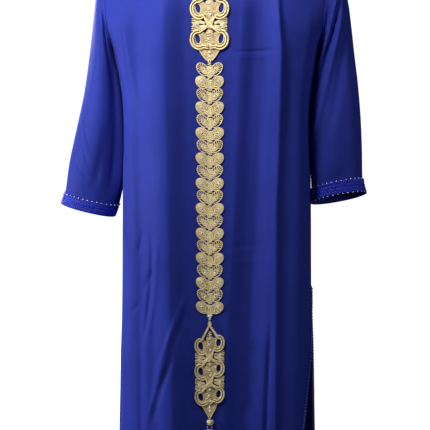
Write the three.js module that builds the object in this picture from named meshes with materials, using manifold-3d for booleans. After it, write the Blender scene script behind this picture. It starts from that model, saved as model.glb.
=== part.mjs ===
// A djellaba: a full-length Moroccan robe of plain crepe with a hood, set-in
// sleeves, side slits and gold cord embroidery down the front. It is filled
// out as if worn. Every piece of cloth is a thin wall of its own, laid out
// round a general figure, with SEAM of daylight where two pieces are sewn.
// Millimetres, +Z up, the front faces -Y. The origin is the middle of the neck
// hole at the height of the shoulder seams, where the wearer's shoulders hold it.
import * as THREE from 'three';
import Module from 'manifold-3d';
import { mergeVertices } from 'three/addons/utils/BufferGeometryUtils.js';

const wasm = await Module();
wasm.setup();

// ---- driving dimensions -------------------------------------------------
const CLOTH = 1.8;                // crepe, turned and pressed
const SEAM = 0.4;                 // daylight between sewn pieces
const LENGTH = 1400;              // shoulder to hem
const NECK_HALF_WIDTH = 85;
const NECK_DROP = { front: 70, back: 14 };
const SHOULDER_END = 272;         // half the width between the armhole tops
const SHOULDER_SLOPE = 0.42;
const SHOULDER_ROUND = 30;        // how softly the slope starts at the neck
const SHOULDER_DEPTH = 200;       // height over which the body fills out below the shoulder
const SHOULDER_CURVE = 1.6;
const ARMPIT = -285;
const BODY_CURVE = 2.8;           // power of the rounded section of the body
const PLACKET = 56;               // half the flat width that carries the embroidery
const SIDE_SLIT_TOP = -862;
const FRONT_SLIT_TOP = -1166;

// Sections of the body from the shoulder down: half the width from side to
// side, and how far the front and the back stand from the side seams.
const BODY = [
  { z: 0, halfWidth: 290, front: 130, back: 120 },
  { z: -170, halfWidth: 288, front: 132, back: 124 },
  { z: -285, halfWidth: 250, front: 134, back: 122 },
  { z: -427, halfWidth: 229, front: 130, back: 112 },
  { z: -640, halfWidth: 233, front: 130, back: 122 },
  { z: -912, halfWidth: 238, front: 132, back: 132 },
  { z: -1026, halfWidth: 243, front: 134, back: 134 },
  { z: -1233, halfWidth: 249, front: 137, back: 138 },
  { z: -1400, halfWidth: 254, front: 140, back: 142 },
];

// Heights of the section rows below the armpit.
const LEVELS = [-330, -385, -450, -520, -590, -660, -730, -800, SIDE_SLIT_TOP,
  -930, -1000, -1070, -1140, -1205, -1270, -1335, -LENGTH];

// Where the free front edges lie below the side slits, in degrees round from
// the front; at 90 the edge still meets the back.
const FRONT_EDGES = [
  { z: SIDE_SLIT_TOP, left: 90, right: 90 },
  { z: -1026, left: 68, right: 88 },
  { z: -1233, left: 51, right: 86 },
  { z: -LENGTH, left: 44, right: 84 },
];

// The long sharp pleat down the wearer's left of the front.
const PLEAT = [
  { z: 0, x: 146 }, { z: -285, x: 164 }, { z: -640, x: 156 }, { z: -LENGTH, x: 160 },
];
const PLEAT_FLANK = 16;           // width of its steep side
const PLEAT_RUN = 72;             // width of the side that climbs to it
const PLEAT_RISE = 11;
const PLEAT_SHARPNESS = 1.3;
const PLEAT_TOP = -60;
const PLEAT_FADE = 150;           // height over which it sets in
const FOLD_FADE = 160;            // the same for the hanging folds

// Hanging folds. x is the crest at the top and the hem, inner and outer the
// widths of its flanks towards the middle and the side, rise is outwards.
const FOLDS = {
  front: [
    { top: -60, topX: -104, hemX: -112, inner: 44, outer: 78, rise: 10 },
    { top: -60, topX: -198, hemX: -190, inner: 30, outer: 26, rise: 4 },
    { top: -90, topX: 82, hemX: 86, inner: 26, outer: 40, rise: -7 },
    { top: -300, topX: 206, hemX: 202, inner: 24, outer: 24, rise: 6 },
    { top: -820, topX: -150, hemX: -158, inner: 26, outer: 22, rise: 6 },
  ],
  back: [
    { top: -330, topX: 118, hemX: 140, inner: 56, outer: 48, rise: 12 },
    { top: -300, topX: 20, hemX: 34, inner: 60, outer: 52, rise: -9 },
    { top: -330, topX: -88, hemX: -104, inner: 52, outer: 58, rise: 13 },
    { top: -420, topX: -186, hemX: -184, inner: 32, outer: 30, rise: -7 },
    { top: -420, topX: 200, hemX: 196, inner: 34, outer: 28, rise: -6 },
  ],
};

// Sleeves from the armhole to the cuff end: the outer edge, the edge along the
// body, half the depth from front to back, and how far the back hangs lower
// than the front for each millimetre of depth.
const SLEEVES = {
  right: [
    { outerX: 286, outerZ: -106, innerX: 252.0, innerZ: -294, depth: 64, lean: 0 },
    { outerX: 294, outerZ: -138, innerX: 250.5, innerZ: -308, depth: 66, lean: 0 },
    { outerX: 300, outerZ: -182, innerX: 246.5, innerZ: -336, depth: 68, lean: 0 },
    { outerX: 308, outerZ: -240, innerX: 241.0, innerZ: -378, depth: 67, lean: 0 },
    { outerX: 318, outerZ: -306, innerX: 237.0, innerZ: -428, depth: 64, lean: 0 },
    { outerX: 332, outerZ: -385, innerX: 236.0, innerZ: -485, depth: 60, lean: 0 },
    { outerX: 353, outerZ: -470, innerX: 237.0, innerZ: -548, depth: 55, lean: 0 },
    { outerX: 374, outerZ: -556, innerX: 240.0, innerZ: -610, depth: 50, lean: 0 },
    { outerX: 387, outerZ: -633, innerX: 250.0, innerZ: -664, depth: 46, lean: 0 },
    { outerX: 397, outerZ: -663, innerX: 261.0, innerZ: -695, depth: 45, lean: 0 },
  ],
  left: [
    { outerX: 291, outerZ: -102, innerX: 252.0, innerZ: -294, depth: 64, lean: 0 },
    { outerX: 305, outerZ: -133, innerX: 250.5, innerZ: -308, depth: 66, lean: 0 },
    { outerX: 316, outerZ: -174, innerX: 244.0, innerZ: -336, depth: 68, lean: 0 },
    { outerX: 324, outerZ: -228, innerX: 237.4, innerZ: -374, depth: 67, lean: -0.02 },
    { outerX: 332, outerZ: -290, innerX: 232.2, innerZ: -418, depth: 64, lean: -0.05 },
    { outerX: 342, outerZ: -362, innerX: 230.8, innerZ: -468, depth: 61, lean: -0.09 },
    { outerX: 350, outerZ: -440, innerX: 231.2, innerZ: -520, depth: 57, lean: -0.14 },
    { outerX: 355, outerZ: -520, innerX: 232.6, innerZ: -570, depth: 53, lean: -0.2 },
    { outerX: 358, outerZ: -592, innerX: 236.4, innerZ: -618, depth: 49, lean: -0.26 },
    { outerX: 366, outerZ: -627, innerX: 240.0, innerZ: -654, depth: 48, lean: -0.3 },
  ],
};
// Long folds of a sleeve, by the angle from its outer edge towards the front.
const SLEEVE_FOLDS = [
  { angle: 58, spread: 34, rise: 4, from: 2, to: 9 },
  { angle: 118, spread: 40, rise: -5, from: 3, to: 9 },
  { angle: -64, spread: 40, rise: 4, from: 2, to: 9 },
  { angle: -120, spread: 36, rise: -4, from: 3, to: 9 },
];
const SLEEVE_SIDES = 20;          // faces round a sleeve
const SLEEVE_CURVE = 2.2;
const ARMHOLE_GAP = 0.7;          // daylight between a sleeve and the armhole edge
const CUFF_BRAID = 1.6;           // thickness of the woven band

// The hood from its mouth at the neck down to its tip on the back.
const HOOD = [
  { z: -12, halfWidth: 86, swell: 48 },
  { z: -36, halfWidth: 104, swell: 43 },
  { z: -76, halfWidth: 115, swell: 38 },
  { z: -126, halfWidth: 113, swell: 34 },
  { z: -180, halfWidth: 99, swell: 29 },
  { z: -232, halfWidth: 77, swell: 22 },
  { z: -282, halfWidth: 50, swell: 15 },
  { z: -322, halfWidth: 26, swell: 10 },
  { z: -342, halfWidth: 9, swell: 6 },
];
const HOOD_SIDES = 20;
const HOOD_GAP = 1.6;             // clear of the curved back between its section rows

// Gold cord work, applied to the front.
const CORD = 1.8;                 // its thickness
const CORD_GAP = 0.4;
const EMBROIDERY_REACH = { near: -220, far: -40 };   // cutting prisms pass through the front only
// Each plaque is three pairs of drop-holed loops; skew lowers the loops on the
// wearer's right and lifts those on the left.
const LOOP = { lean: 14, holeHalfWidth: 5.4, holeHalfHeight: 10.5, holeShift: 3 };
const CROSSING = { halfWidth: 15, halfHeight: 34 };   // where cords cross between two pairs
const NECK_PLAQUE = {
  top: -86, neck: 14, loops: [-123, -192, -261], x: 24.5, halfWidth: 22, halfHeight: 24.5, skew: 0,
  reach: 42, tip: -311, halfTip: 8.5,
};
const LOWER_PLAQUE = {
  top: -928, neck: 3.6, loops: [-983, -1046, -1110], x: 19.5, halfWidth: 18, halfHeight: 22.5, skew: 5,
  reach: 36, tip: -1164, halfTip: 3.6,
};
const LEAVES = { top: -312.5, bottom: -906, rows: 20, halfStem: 8, end: -919, halfEnd: 3.4 };
const LEAF_WIDE = { x: 17, long: 18, short: 13.5, lift: 38 };
const LEAF_NARROW = { x: 15.5, long: 18.5, short: 12.5, lift: 48 };

// Braids and buttons of the slits.
const SLIT_BRAID = { width: 6, thickness: 1.4, degrees: 3 };   // degrees: its width at the side
const FRONT_SLIT = { halfTop: 1.2, halfHem: 7 };
const KNOT = { radius: 8, heights: [-1173, -1197] };

const CREPE = { color: 0x2f3aa0, roughness: 0.62, metalness: 0 };
const BRAID = { color: 0x26309a, roughness: 0.7, metalness: 0 };
const GOLD_CORD = { color: 0xc2a878, roughness: 0.5, metalness: 0.35 };

// ---- general helpers ------------------------------------------------------
const { clamp, lerp, degToRad } = THREE.MathUtils;
const point = (x, y, z) => new THREE.Vector3(x, y, z);
const soft = (t) => clamp(t, 0, 1) ** 2 * (3 - 2 * clamp(t, 0, 1));

// A column of a table at a place between its rows, on a smooth curve.
function along(rows, key, place, column) {
  const rising = Math.sign(rows[1][key] - rows[0][key]);
  let row = 0;
  while (row < rows.length - 2 && (place - rows[row + 1][key]) * rising > 0) row++;
  const slope = (i) => {
    const before = rows[Math.max(i - 1, 0)];
    const after = rows[Math.min(i + 1, rows.length - 1)];
    return (after[column] - before[column]) / (after[key] - before[key]);
  };
  const [a, b] = [rows[row], rows[row + 1]];
  const span = b[key] - a[key];
  const t = clamp((place - a[key]) / span, 0, 1);
  return a[column] * (1 + 2 * t) * (1 - t) ** 2 + b[column] * t * t * (3 - 2 * t)
    + span * (slope(row) * t * (1 - t) ** 2 + slope(row + 1) * t * t * (t - 1));
}

// A closed wall between an outer and an inner grid of points. A closed grid
// goes round; a bagged one is also shut at its last row, as a pouch is.
function wall(outer, inner, { closed = false, bagged = false } = {}) {
  const [rows, columns] = [outer.length, outer[0].length];
  const at = (layer, r, c) => (layer * rows + r) * columns + (c % columns);
  const faces = [];
  const quad = (a, b, c, d) => faces.push(a, b, c, a, c, d);
  const [R, C] = [rows - 1, closed ? columns : columns - 1];
  for (let c = 0; c < C; c++) {
    for (let r = 0; r < R; r++) {
      quad(at(0, r, c), at(0, r + 1, c), at(0, r + 1, c + 1), at(0, r, c + 1));
      quad(at(1, r, c), at(1, r, c + 1), at(1, r + 1, c + 1), at(1, r + 1, c));
    }
    quad(at(0, 0, c), at(0, 0, c + 1), at(1, 0, c + 1), at(1, 0, c));
    if (!bagged) quad(at(1, R, c), at(1, R, c + 1), at(0, R, c + 1), at(0, R, c));
  }
  for (let c = 1; c < columns - 1 && bagged; c++) {
    faces.push(at(0, R, 0), at(0, R, c + 1), at(0, R, c));
    faces.push(at(1, R, 0), at(1, R, c), at(1, R, c + 1));
  }
  for (let r = 0; r < R && !closed; r++) {
    quad(at(0, r + 1, 0), at(0, r, 0), at(1, r, 0), at(1, r + 1, 0));
    quad(at(0, r, C), at(0, r + 1, C), at(1, r + 1, C), at(1, r, C));
  }
  const geometry = new THREE.BufferGeometry();
  const places = [...outer, ...inner].flat().flatMap((p) => p.toArray());
  geometry.setAttribute('position', new THREE.Float32BufferAttribute(places, 3));
  geometry.setIndex(faces);
  geometry.computeVertexNormals();
  return geometry;
}

// The points of a grid moved out along its normals. Rows run down and columns
// anticlockwise seen from above; pinned(r, c) keeps a normal level with a seam.
function moved(grid, distance, { closed = false, pinned = () => false } = {}) {
  const [rows, columns] = [grid.length, grid[0].length];
  const column = (c) => (closed ? (c + columns) % columns : clamp(c, 0, columns - 1));
  return grid.map((line, r) => line.map((p, c) => {
    const across = line[column(c + 1)].clone().sub(line[column(c - 1)]);
    const down = grid[Math.min(r + 1, rows - 1)][c].clone().sub(grid[Math.max(r - 1, 0)][c]);
    const normal = down.cross(across);
    if (pinned(r, c)) normal.y = 0;
    return p.clone().addScaledVector(normal.normalize(), distance);
  }));
}

function solidOf(geometry) {
  const bare = geometry.clone();
  bare.deleteAttribute('normal');
  bare.deleteAttribute('uv');
  const merged = mergeVertices(bare, 1e-4);
  const mesh = new wasm.Mesh({
    numProp: 3,
    vertProperties: new Float32Array(merged.attributes.position.array),
    triVerts: new Uint32Array(merged.index.array),
  });
  return new wasm.Manifold(mesh);
}

function geometryOf(solid) {
  const mesh = solid.getMesh();
  const geometry = new THREE.BufferGeometry();
  geometry.setAttribute('position', new THREE.Float32BufferAttribute(mesh.vertProperties, 3));
  geometry.setIndex([...mesh.triVerts]);
  geometry.computeVertexNormals();
  return geometry;
}

// ---- the body's surface -----------------------------------------------------
function shoulderHeight(x) {
  const reach = Math.max(Math.abs(x), PLACKET) - NECK_HALF_WIDTH;
  return (SHOULDER_SLOPE / 2) * (SHOULDER_ROUND - reach - Math.hypot(reach, SHOULDER_ROUND));
}

function pleatX(z) {
  const row = Math.max(1, PLEAT.findIndex((place) => place.z <= z));
  const [a, b] = [PLEAT[row - 1], PLEAT[row]];
  return lerp(a.x, b.x, (z - a.z) / (b.z - a.z));
}

// How far the folds lift the cloth at a place of the front or back.
function foldRise(x, z, panel) {
  let rise = 0;
  for (const fold of FOLDS[panel]) {
    const crest = lerp(fold.topX, fold.hemX, clamp(z / -LENGTH, 0, 1));
    const outward = (x - crest) * Math.sign(crest);
    const share = 1 - Math.abs(outward) / (outward > 0 ? fold.outer : fold.inner);
    rise += fold.rise * soft(share) * soft((fold.top - z) / FOLD_FADE);
  }
  if (panel === 'front') {
    const past = x - pleatX(z);
    const share = 1 - Math.abs(past) / (past > 0 ? PLEAT_FLANK : PLEAT_RUN);
    const fade = soft((PLEAT_TOP - z) / PLEAT_FADE);
    rise += PLEAT_RISE * clamp(share, 0, 1) ** PLEAT_SHARPNESS * fade;
  }
  return rise;
}

// A point of the front or back at a distance x from the middle and a height.
function panelPoint(x, z, panel) {
  const facing = panel === 'front' ? -1 : 1;
  const free = along(BODY, 'z', z, 'halfWidth') - PLACKET;
  const reach = clamp((Math.abs(x) - PLACKET) / free, 0, 1);
  const round = (1 - reach ** BODY_CURVE) ** (1 / BODY_CURVE);
  const below = clamp((shoulderHeight(x) - z) / SHOULDER_DEPTH, 0, 1);
  const close = (1 - (1 - below) ** SHOULDER_CURVE) ** (1 / SHOULDER_CURVE);
  const depth = along(BODY, 'z', z, panel) * close;
  const rise = foldRise(x, z, panel) * close * soft(round / 0.5);
  const slopeX = reach ** (BODY_CURVE - 1) / free;
  const slopeY = round ** (BODY_CURVE - 1) / Math.max(depth, 1);
  const steep = Math.hypot(slopeX, slopeY);
  return point(
    x + (Math.sign(x) * rise * slopeX) / steep,
    facing * (SEAM / 2 + depth * round + (rise * slopeY) / steep),
    z,
  );
}

// How many columns of one half of a panel end the flat middle, the pleat's
// crest, the neckline and the half itself.
const COLUMNS = {
  front: { flat: 3, pleat: 8, neck: 5, half: 14 },
  back: { flat: 2, neck: 4, half: 10 },
};

// Distances from the middle of the columns of one half of a panel, at a height.
function columnPlaces(z, panel, side) {
  const { flat, pleat, half } = COLUMNS[panel];
  const free = along(BODY, 'z', z, 'halfWidth') - PLACKET;
  const shareAt = (degrees) => {
    const [s, c] = [Math.sin(degToRad(degrees)), Math.cos(degToRad(degrees))];
    return s / (s ** BODY_CURVE + Math.max(c, 0) ** BODY_CURVE) ** (1 / BODY_CURVE);
  };
  const angleOf = (x) => {
    const reach = (x - PLACKET) / free;
    return Math.atan2(reach, (1 - reach ** BODY_CURVE) ** (1 / BODY_CURVE)) / degToRad(1);
  };
  const edge = panel === 'front' && z < SIDE_SLIT_TOP ? along(FRONT_EDGES, 'z', z, side) : 90;
  const places = [];
  const spread = (first, last, from, to) => {
    for (let i = first; i <= last; i++) {
      const angle = lerp(from, to, (i - first) / (last - first));
      places[i] = PLACKET + free * (angle >= 90 ? 1 : shareAt(angle));
    }
  };
  for (let i = 0; i <= flat; i++) places[i] = (PLACKET * i) / flat;
  if (panel === 'front' && side === 'left') {
    for (let i = flat; i <= pleat; i++) {
      places[i] = lerp(PLACKET, pleatX(z), (i - flat) / (pleat - flat));
    }
    spread(pleat + 1, half, angleOf(pleatX(z) + PLEAT_FLANK), edge);
  } else {
    spread(flat, half, 0, edge);
  }
  spread(half - 1, half, edge - SLIT_BRAID.degrees, edge);
  return places;
}

// How far down the armhole each of its points lies, matched to the sleeve.
const ARMHOLE_ROWS = SLEEVE_SIDES / 2;
const SLIT_ROW = ARMHOLE_ROWS + 1 + LEVELS.indexOf(SIDE_SLIT_TOP);
const armholeShare = (row) => (1 - Math.cos((Math.PI * row) / ARMHOLE_ROWS)) / 2;

function topPlace(i, panel) {
  const { neck, half } = COLUMNS[panel];
  if (i >= neck) {
    const x = lerp(NECK_HALF_WIDTH, SHOULDER_END, (i - neck) / (half - neck));
    return { x, z: shoulderHeight(x) };
  }
  const turn = (Math.PI / 2) * (i / neck);
  return { x: NECK_HALF_WIDTH * Math.sin(turn), z: -NECK_DROP[panel] * Math.cos(turn) };
}

// The outer points of a panel: shoulder, neckline and armholes down to the
// armpit, then level rows down to the hem.
function panelGrid(panel) {
  const { half } = COLUMNS[panel];
  const signs = panel === 'front' ? { first: -1, last: 1 } : { first: 1, last: -1 };
  const sideOf = (sign) => (sign > 0 ? 'left' : 'right');
  const row = (placeOf) => {
    const line = [];
    for (let i = half; i > 0; i--) line.push(placeOf(i, signs.first));
    for (let i = 0; i <= half; i++) line.push(placeOf(i, signs.last));
    return line;
  };
  const grid = [];
  for (let r = 0; r <= ARMHOLE_ROWS; r++) {
    const share = armholeShare(r);
    grid.push(row((i, sign) => {
      const top = topPlace(i, panel);
      const low = columnPlaces(ARMPIT, panel, sideOf(sign))[i];
      return panelPoint(sign * lerp(top.x, low, share), lerp(top.z, ARMPIT, share), panel);
    }));
  }
  for (const z of LEVELS) {
    grid.push(row((i, sign) => panelPoint(sign * columnPlaces(z, panel, sideOf(sign))[i], z, panel)));
  }
  return grid;
}

// Seam points keep their thickness level with the neighbouring panel.
function seamAt(panel) {
  const { neck, half } = COLUMNS[panel];
  return (r, c) => {
    const fromMiddle = Math.abs(c - half);
    const shoulder = r === 0 && fromMiddle >= neck;
    const side = fromMiddle === half && r >= ARMHOLE_ROWS && r <= SLIT_ROW;
    return shoulder || side;
  };
}

const frontOuter = panelGrid('front');
const backOuter = panelGrid('back');
const frontInner = moved(frontOuter, -CLOTH, { pinned: seamAt('front') });
const backInner = moved(backOuter, -CLOTH, { pinned: seamAt('back') });

// ---- front and back -----------------------------------------------------------
// The front slit is a narrow wedge that widens to the hem.
function prismAlongY(shapes, nearY, farY) {
  const geometry = new THREE.ExtrudeGeometry(shapes, {
    depth: farY - nearY, bevelEnabled: false, curveSegments: 6,
  });
  return solidOf(geometry.rotateX(Math.PI / 2).translate(0, farY, 0));
}

function frontPanel() {
  const wedge = new THREE.Shape([
    new THREE.Vector2(-FRONT_SLIT.halfTop, FRONT_SLIT_TOP),
    new THREE.Vector2(-FRONT_SLIT.halfHem, -LENGTH - 5),
    new THREE.Vector2(FRONT_SLIT.halfHem, -LENGTH - 5),
    new THREE.Vector2(FRONT_SLIT.halfTop, FRONT_SLIT_TOP),
  ]);
  const cutter = prismAlongY([wedge], 2 * EMBROIDERY_REACH.near, 0);
  return geometryOf(solidOf(wall(frontOuter, frontInner)).subtract(cutter));
}

// ---- sleeves and their braid ----------------------------------------------------
// A point of a sleeve: turn is the angle round it in degrees, 0 at its outer
// edge and 90 at the front; inset is how far inside the outer face it lies.
function sleevePoint(side, station, turn, inset) {
  const row = SLEEVES[side].map((values, index) => ({ station: index + 1, ...values }));
  const value = (column) => along(row, 'station', station, column);
  const sign = side === 'left' ? 1 : -1;
  const angle = degToRad(turn);
  const [s, c] = [Math.sin(angle), Math.cos(angle)];
  const bulge = (Math.abs(s) ** SLEEVE_CURVE + Math.abs(c) ** SLEEVE_CURVE) ** (-1 / SLEEVE_CURVE);
  let rise = -inset;
  for (const fold of SLEEVE_FOLDS) {
    const off = Math.abs(((turn - fold.angle + 540) % 360) - 180);
    const lengthwise = soft((station - fold.from) / 2) * soft((fold.to - station) / 2);
    rise += fold.rise * soft(1 - off / fold.spread) * lengthwise;
  }
  const outer = point(value('outerX'), 0, value('outerZ'));
  const inner = point(value('innerX'), 0, value('innerZ'));
  const halfWidth = outer.distanceTo(inner) / 2;
  const across = outer.clone().sub(inner).normalize();
  const y = -s * bulge * (value('depth') + rise);
  const middle = outer.add(inner).multiplyScalar(0.5);
  const place = middle.addScaledVector(across, c * bulge * (halfWidth + rise));
  return point(sign * place.x, y, place.z + value('lean') * y);
}

// Turns run anticlockwise seen from above on both sides of the body.
function sleeveTurns(side) {
  const step = (side === 'left' ? -1 : 1) * (360 / SLEEVE_SIDES);
  return Array.from({ length: SLEEVE_SIDES }, (_, i) => i * step);
}

// The armhole's own points, so that the sleeve starts along its edge.
function armholeRing(side, inset) {
  const sign = side === 'left' ? 1 : -1;
  const middle = point(0, 0, (shoulderHeight(SHOULDER_END) + ARMPIT) / 2);
  return sleeveTurns(side).map((turn) => {
    const front = Math.sin(degToRad(turn)) > 1e-6;
    const row = Math.round((ARMHOLE_ROWS * Math.abs(((turn + 540) % 360) - 180)) / 180);
    const grid = front ? frontOuter : backOuter;
    const atEnd = (sign > 0) === front ? grid[0].length - 1 : 0;
    const place = grid[row][atEnd].clone();
    if (row === 0 || row === ARMHOLE_ROWS) place.y = 0;
    const inward = middle.clone().sub(place).setX(0).normalize();
    return place.addScaledVector(inward, inset).add(point(sign * ARMHOLE_GAP, 0, 0));
  });
}

const SLEEVE_END = SLEEVES.left.length;
const BAND_START = SLEEVE_END - 1;

function sleeveGrid(side, inset) {
  const grid = [armholeRing(side, inset)];
  for (let station = 1; station <= SLEEVE_END; station++) {
    grid.push(sleeveTurns(side).map((turn) => sleevePoint(side, station, turn, inset)));
  }
  return grid;
}

function cuffBraidGrid(side, inset) {
  return [BAND_START, SLEEVE_END].map((station) => (
    sleeveTurns(side).map((turn) => sleevePoint(side, station, turn, inset))));
}

// ---- hood -------------------------------------------------------------------------
// An open pouch that lies on the upper back, hung from the back of the neck.
function hoodGrid(inset) {
  return HOOD.map((row) => Array.from({ length: HOOD_SIDES }, (_, i) => {
    const angle = (2 * Math.PI * i) / HOOD_SIDES;
    const x = (row.halfWidth - inset) * Math.cos(angle);
    const back = panelPoint(clamp(x, -SHOULDER_END, SHOULDER_END), row.z, 'back');
    const out = HOOD_GAP + row.swell + (row.swell - inset) * Math.sin(angle);
    const tip = row === HOOD[HOOD.length - 1];
    return point(x, back.y + out, row.z + (tip ? inset : 0));
  }));
}

// ---- gold cord embroidery -------------------------------------------------------------
// A slab of the cord's thickness over the flat middle of the front, made from
// the front's own points moved out, and cut to the outline of each motif.
function embroiderySlab() {
  const { half, flat } = COLUMNS.front;
  const layer = (height) => moved(frontOuter, height, { pinned: seamAt('front') })
    .map((line) => line.slice(half - flat - 1, half + flat + 2));
  return solidOf(wall(layer(CORD_GAP + CORD), layer(CORD_GAP)));
}

function ellipse(x, z, halfWidth, halfHeight, lean, sides) {
  const curve = new THREE.EllipseCurve(x, z, halfWidth, halfHeight, 0, 2 * Math.PI, false, degToRad(lean));
  return curve.getPoints(sides).slice(0, -1);
}

// A loop of doubled cord with a drop-shaped hole.
function cordLoop(sign, z, { x, halfWidth, halfHeight, skew }) {
  const middle = z + sign * skew;
  const shape = new THREE.Shape(
    ellipse(sign * x, middle, halfWidth, halfHeight, -sign * LOOP.lean, 16));
  shape.holes.push(new THREE.Path(ellipse(
    sign * (x + LOOP.holeShift), middle + 2, LOOP.holeHalfWidth, LOOP.holeHalfHeight, -sign * LOOP.lean, 8)));
  return shape;
}

function diamond(z, halfWidth, halfHeight) {
  const v = (x, dz) => new THREE.Vector2(x, z + dz);
  return new THREE.Shape([v(halfWidth, 0), v(0, halfHeight), v(-halfWidth, 0), v(0, -halfHeight)]);
}

// Short rays that stand out between two loops, spreading outwards.
function tuft(sign, z, reach) {
  const v = (x, dz) => new THREE.Vector2(sign * x, z + dz);
  const outline = [v(12, -10), v(reach - 2, -15), v(reach, 0), v(reach - 2, 15), v(12, 10)];
  return new THREE.Shape(sign > 0 ? outline : outline.reverse());
}

// A slanting gap between the cords above the middle of a pair of loops.
function crossingGap(sign, z) {
  const v = (x, dz) => new THREE.Vector2(sign * x, z + dz);
  const outline = [v(3, 20), v(11, 13), v(12.5, 17), v(2.5, 26)];
  return new THREE.Shape(sign > 0 ? outline : outline.reverse());
}

function joined(shapes) {
  const { near, far } = EMBROIDERY_REACH;
  return shapes.map((shape) => prismAlongY([shape], near, far)).reduce((a, b) => a.add(b));
}

function plaque(design) {
  const { top, neck, loops, x, halfHeight, skew, reach, tip, halfTip } = design;
  const shapes = loops.flatMap((z) => (
    [cordLoop(-1, z, design), cordLoop(1, z, design), diamond(z, x, halfHeight)]));
  const between = loops.slice(1).map((z, i) => (z + loops[i]) / 2);
  for (const z of between) {
    shapes.push(diamond(z, CROSSING.halfWidth, CROSSING.halfHeight));
    shapes.push(tuft(-1, z - skew, reach), tuft(1, z + skew, reach));
  }
  const v = (place, z) => new THREE.Vector2(place, z);
  const [first, last] = [loops[0], loops[loops.length - 1]];
  const base = last - 19;
  shapes.push(new THREE.Shape([
    v(-x, base - skew), v(-halfTip, tip), v(halfTip, tip), v(x, base + skew), v(0, last)]));
  shapes.push(new THREE.Shape([
    v(0, first), v(x, first + 18 + skew), v(neck, (first + 22 + top) / 2), v(neck, top), v(-neck, top),
    v(-neck, (first + 22 + top) / 2), v(-x, first + 18 - skew)]));
  const gaps = loops.flatMap((z) => [crossingGap(-1, z), crossingGap(1, z)]);
  return joined(shapes).subtract(joined(gaps));
}

// A strip of heart-shaped pairs of leaves on a stem.
function leafStrip() {
  const { top, bottom, rows, halfStem, end, halfEnd } = LEAVES;
  const pitch = (top - bottom) / rows;
  const v = (x, z) => new THREE.Vector2(x, z);
  const foot = LOWER_PLAQUE.top + SEAM;
  const shapes = [new THREE.Shape([
    v(-halfEnd, foot), v(halfEnd, foot), v(halfEnd, end), v(halfStem, bottom + halfStem),
    v(halfStem, top - SEAM), v(-halfStem, top - SEAM), v(-halfStem, bottom + halfStem), v(-halfEnd, end)])];
  for (let row = 0; row < rows; row++) {
    const leaf = row % 2 ? LEAF_WIDE : LEAF_NARROW;
    const z = top - pitch * (row + 0.55);
    for (const sign of [-1, 1]) {
      shapes.push(new THREE.Shape(
        ellipse(sign * leaf.x, z, leaf.long, leaf.short, sign * leaf.lift, 11)));
    }
  }
  return joined(shapes);
}

function knotButton(z) {
  const front = panelPoint(0, z, 'front').y - CORD_GAP - SLIT_BRAID.thickness;
  const geometry = new THREE.SphereGeometry(KNOT.radius, 12, 8);
  return geometry.translate(0, front - KNOT.radius, z);
}

// ---- braids of the slits ------------------------------------------------------------------
// A narrow braid over the last column of a panel, from the slit's top down.
function edgeBraid(panelOuter, firstColumn, panel) {
  const layer = (height) => moved(panelOuter, height, { pinned: seamAt(panel) })
    .slice(SLIT_ROW).map((line) => line.slice(firstColumn, firstColumn + 2));
  return wall(layer(CORD_GAP + SLIT_BRAID.thickness), layer(CORD_GAP));
}

// A narrow braid beside the front slit, down to the hem.
function frontSlitBraid(sign, slab) {
  const half = (z) => lerp(FRONT_SLIT.halfTop, FRONT_SLIT.halfHem,
    (FRONT_SLIT_TOP - z) / (FRONT_SLIT_TOP + LENGTH));
  const v = (x, z) => new THREE.Vector2(sign * x, z);
  const [top, hem] = [FRONT_SLIT_TOP - 2, -LENGTH + 1];
  const outline = [
    v(half(top) + 0.6, top), v(half(hem) + 0.6, hem),
    v(half(hem) + 0.6 + SLIT_BRAID.width, hem), v(half(top) + 0.6 + SLIT_BRAID.width, top)];
  return slab.intersect(joined([new THREE.Shape(sign > 0 ? outline.reverse() : outline)]));
}

// ---- assembly -------------------------------------------------------------------------------
const djellaba = new THREE.Group();
function addPiece(name, geometry, look) {
  const mesh = new THREE.Mesh(geometry, new THREE.MeshStandardMaterial(look));
  mesh.name = name;
  djellaba.add(mesh);
}

addPiece('front_panel', frontPanel(), CREPE);
addPiece('back_panel', wall(backOuter, backInner), CREPE);
for (const side of ['right', 'left']) {
  const round = { closed: true };
  addPiece(`sleeve_${side}`, wall(sleeveGrid(side, 0), sleeveGrid(side, CLOTH), round), CREPE);
  const [outside, seat] = [-CORD_GAP - CUFF_BRAID, -CORD_GAP];
  addPiece(`cuff_braid_${side}`,
    wall(cuffBraidGrid(side, outside), cuffBraidGrid(side, seat), round), BRAID);
}
addPiece('hood', wall(hoodGrid(0), hoodGrid(CLOTH), { closed: true, bagged: true }), CREPE);

const slab = embroiderySlab();
addPiece('embroidery_neck', geometryOf(slab.intersect(plaque(NECK_PLAQUE))), GOLD_CORD);
addPiece('embroidery_strip', geometryOf(slab.intersect(leafStrip())), GOLD_CORD);
addPiece('embroidery_lower', geometryOf(slab.intersect(plaque(LOWER_PLAQUE))), GOLD_CORD);
addPiece('front_slit_braid_right', geometryOf(frontSlitBraid(-1, slab)), BRAID);
addPiece('front_slit_braid_left', geometryOf(frontSlitBraid(1, slab)), BRAID);
KNOT.heights.forEach((z, i) => addPiece(`knot_button_${i + 1}`, knotButton(z), GOLD_CORD));

const lastColumn = { front: 2 * COLUMNS.front.half - 1, back: 2 * COLUMNS.back.half - 1 };
addPiece('slit_braid_front_right', edgeBraid(frontOuter, 0, 'front'), BRAID);
addPiece('slit_braid_front_left', edgeBraid(frontOuter, lastColumn.front, 'front'), BRAID);
addPiece('slit_braid_back_left', edgeBraid(backOuter, 0, 'back'), BRAID);
addPiece('slit_braid_back_right', edgeBraid(backOuter, lastColumn.back, 'back'), BRAID);

export default djellaba;
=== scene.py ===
import math

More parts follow.
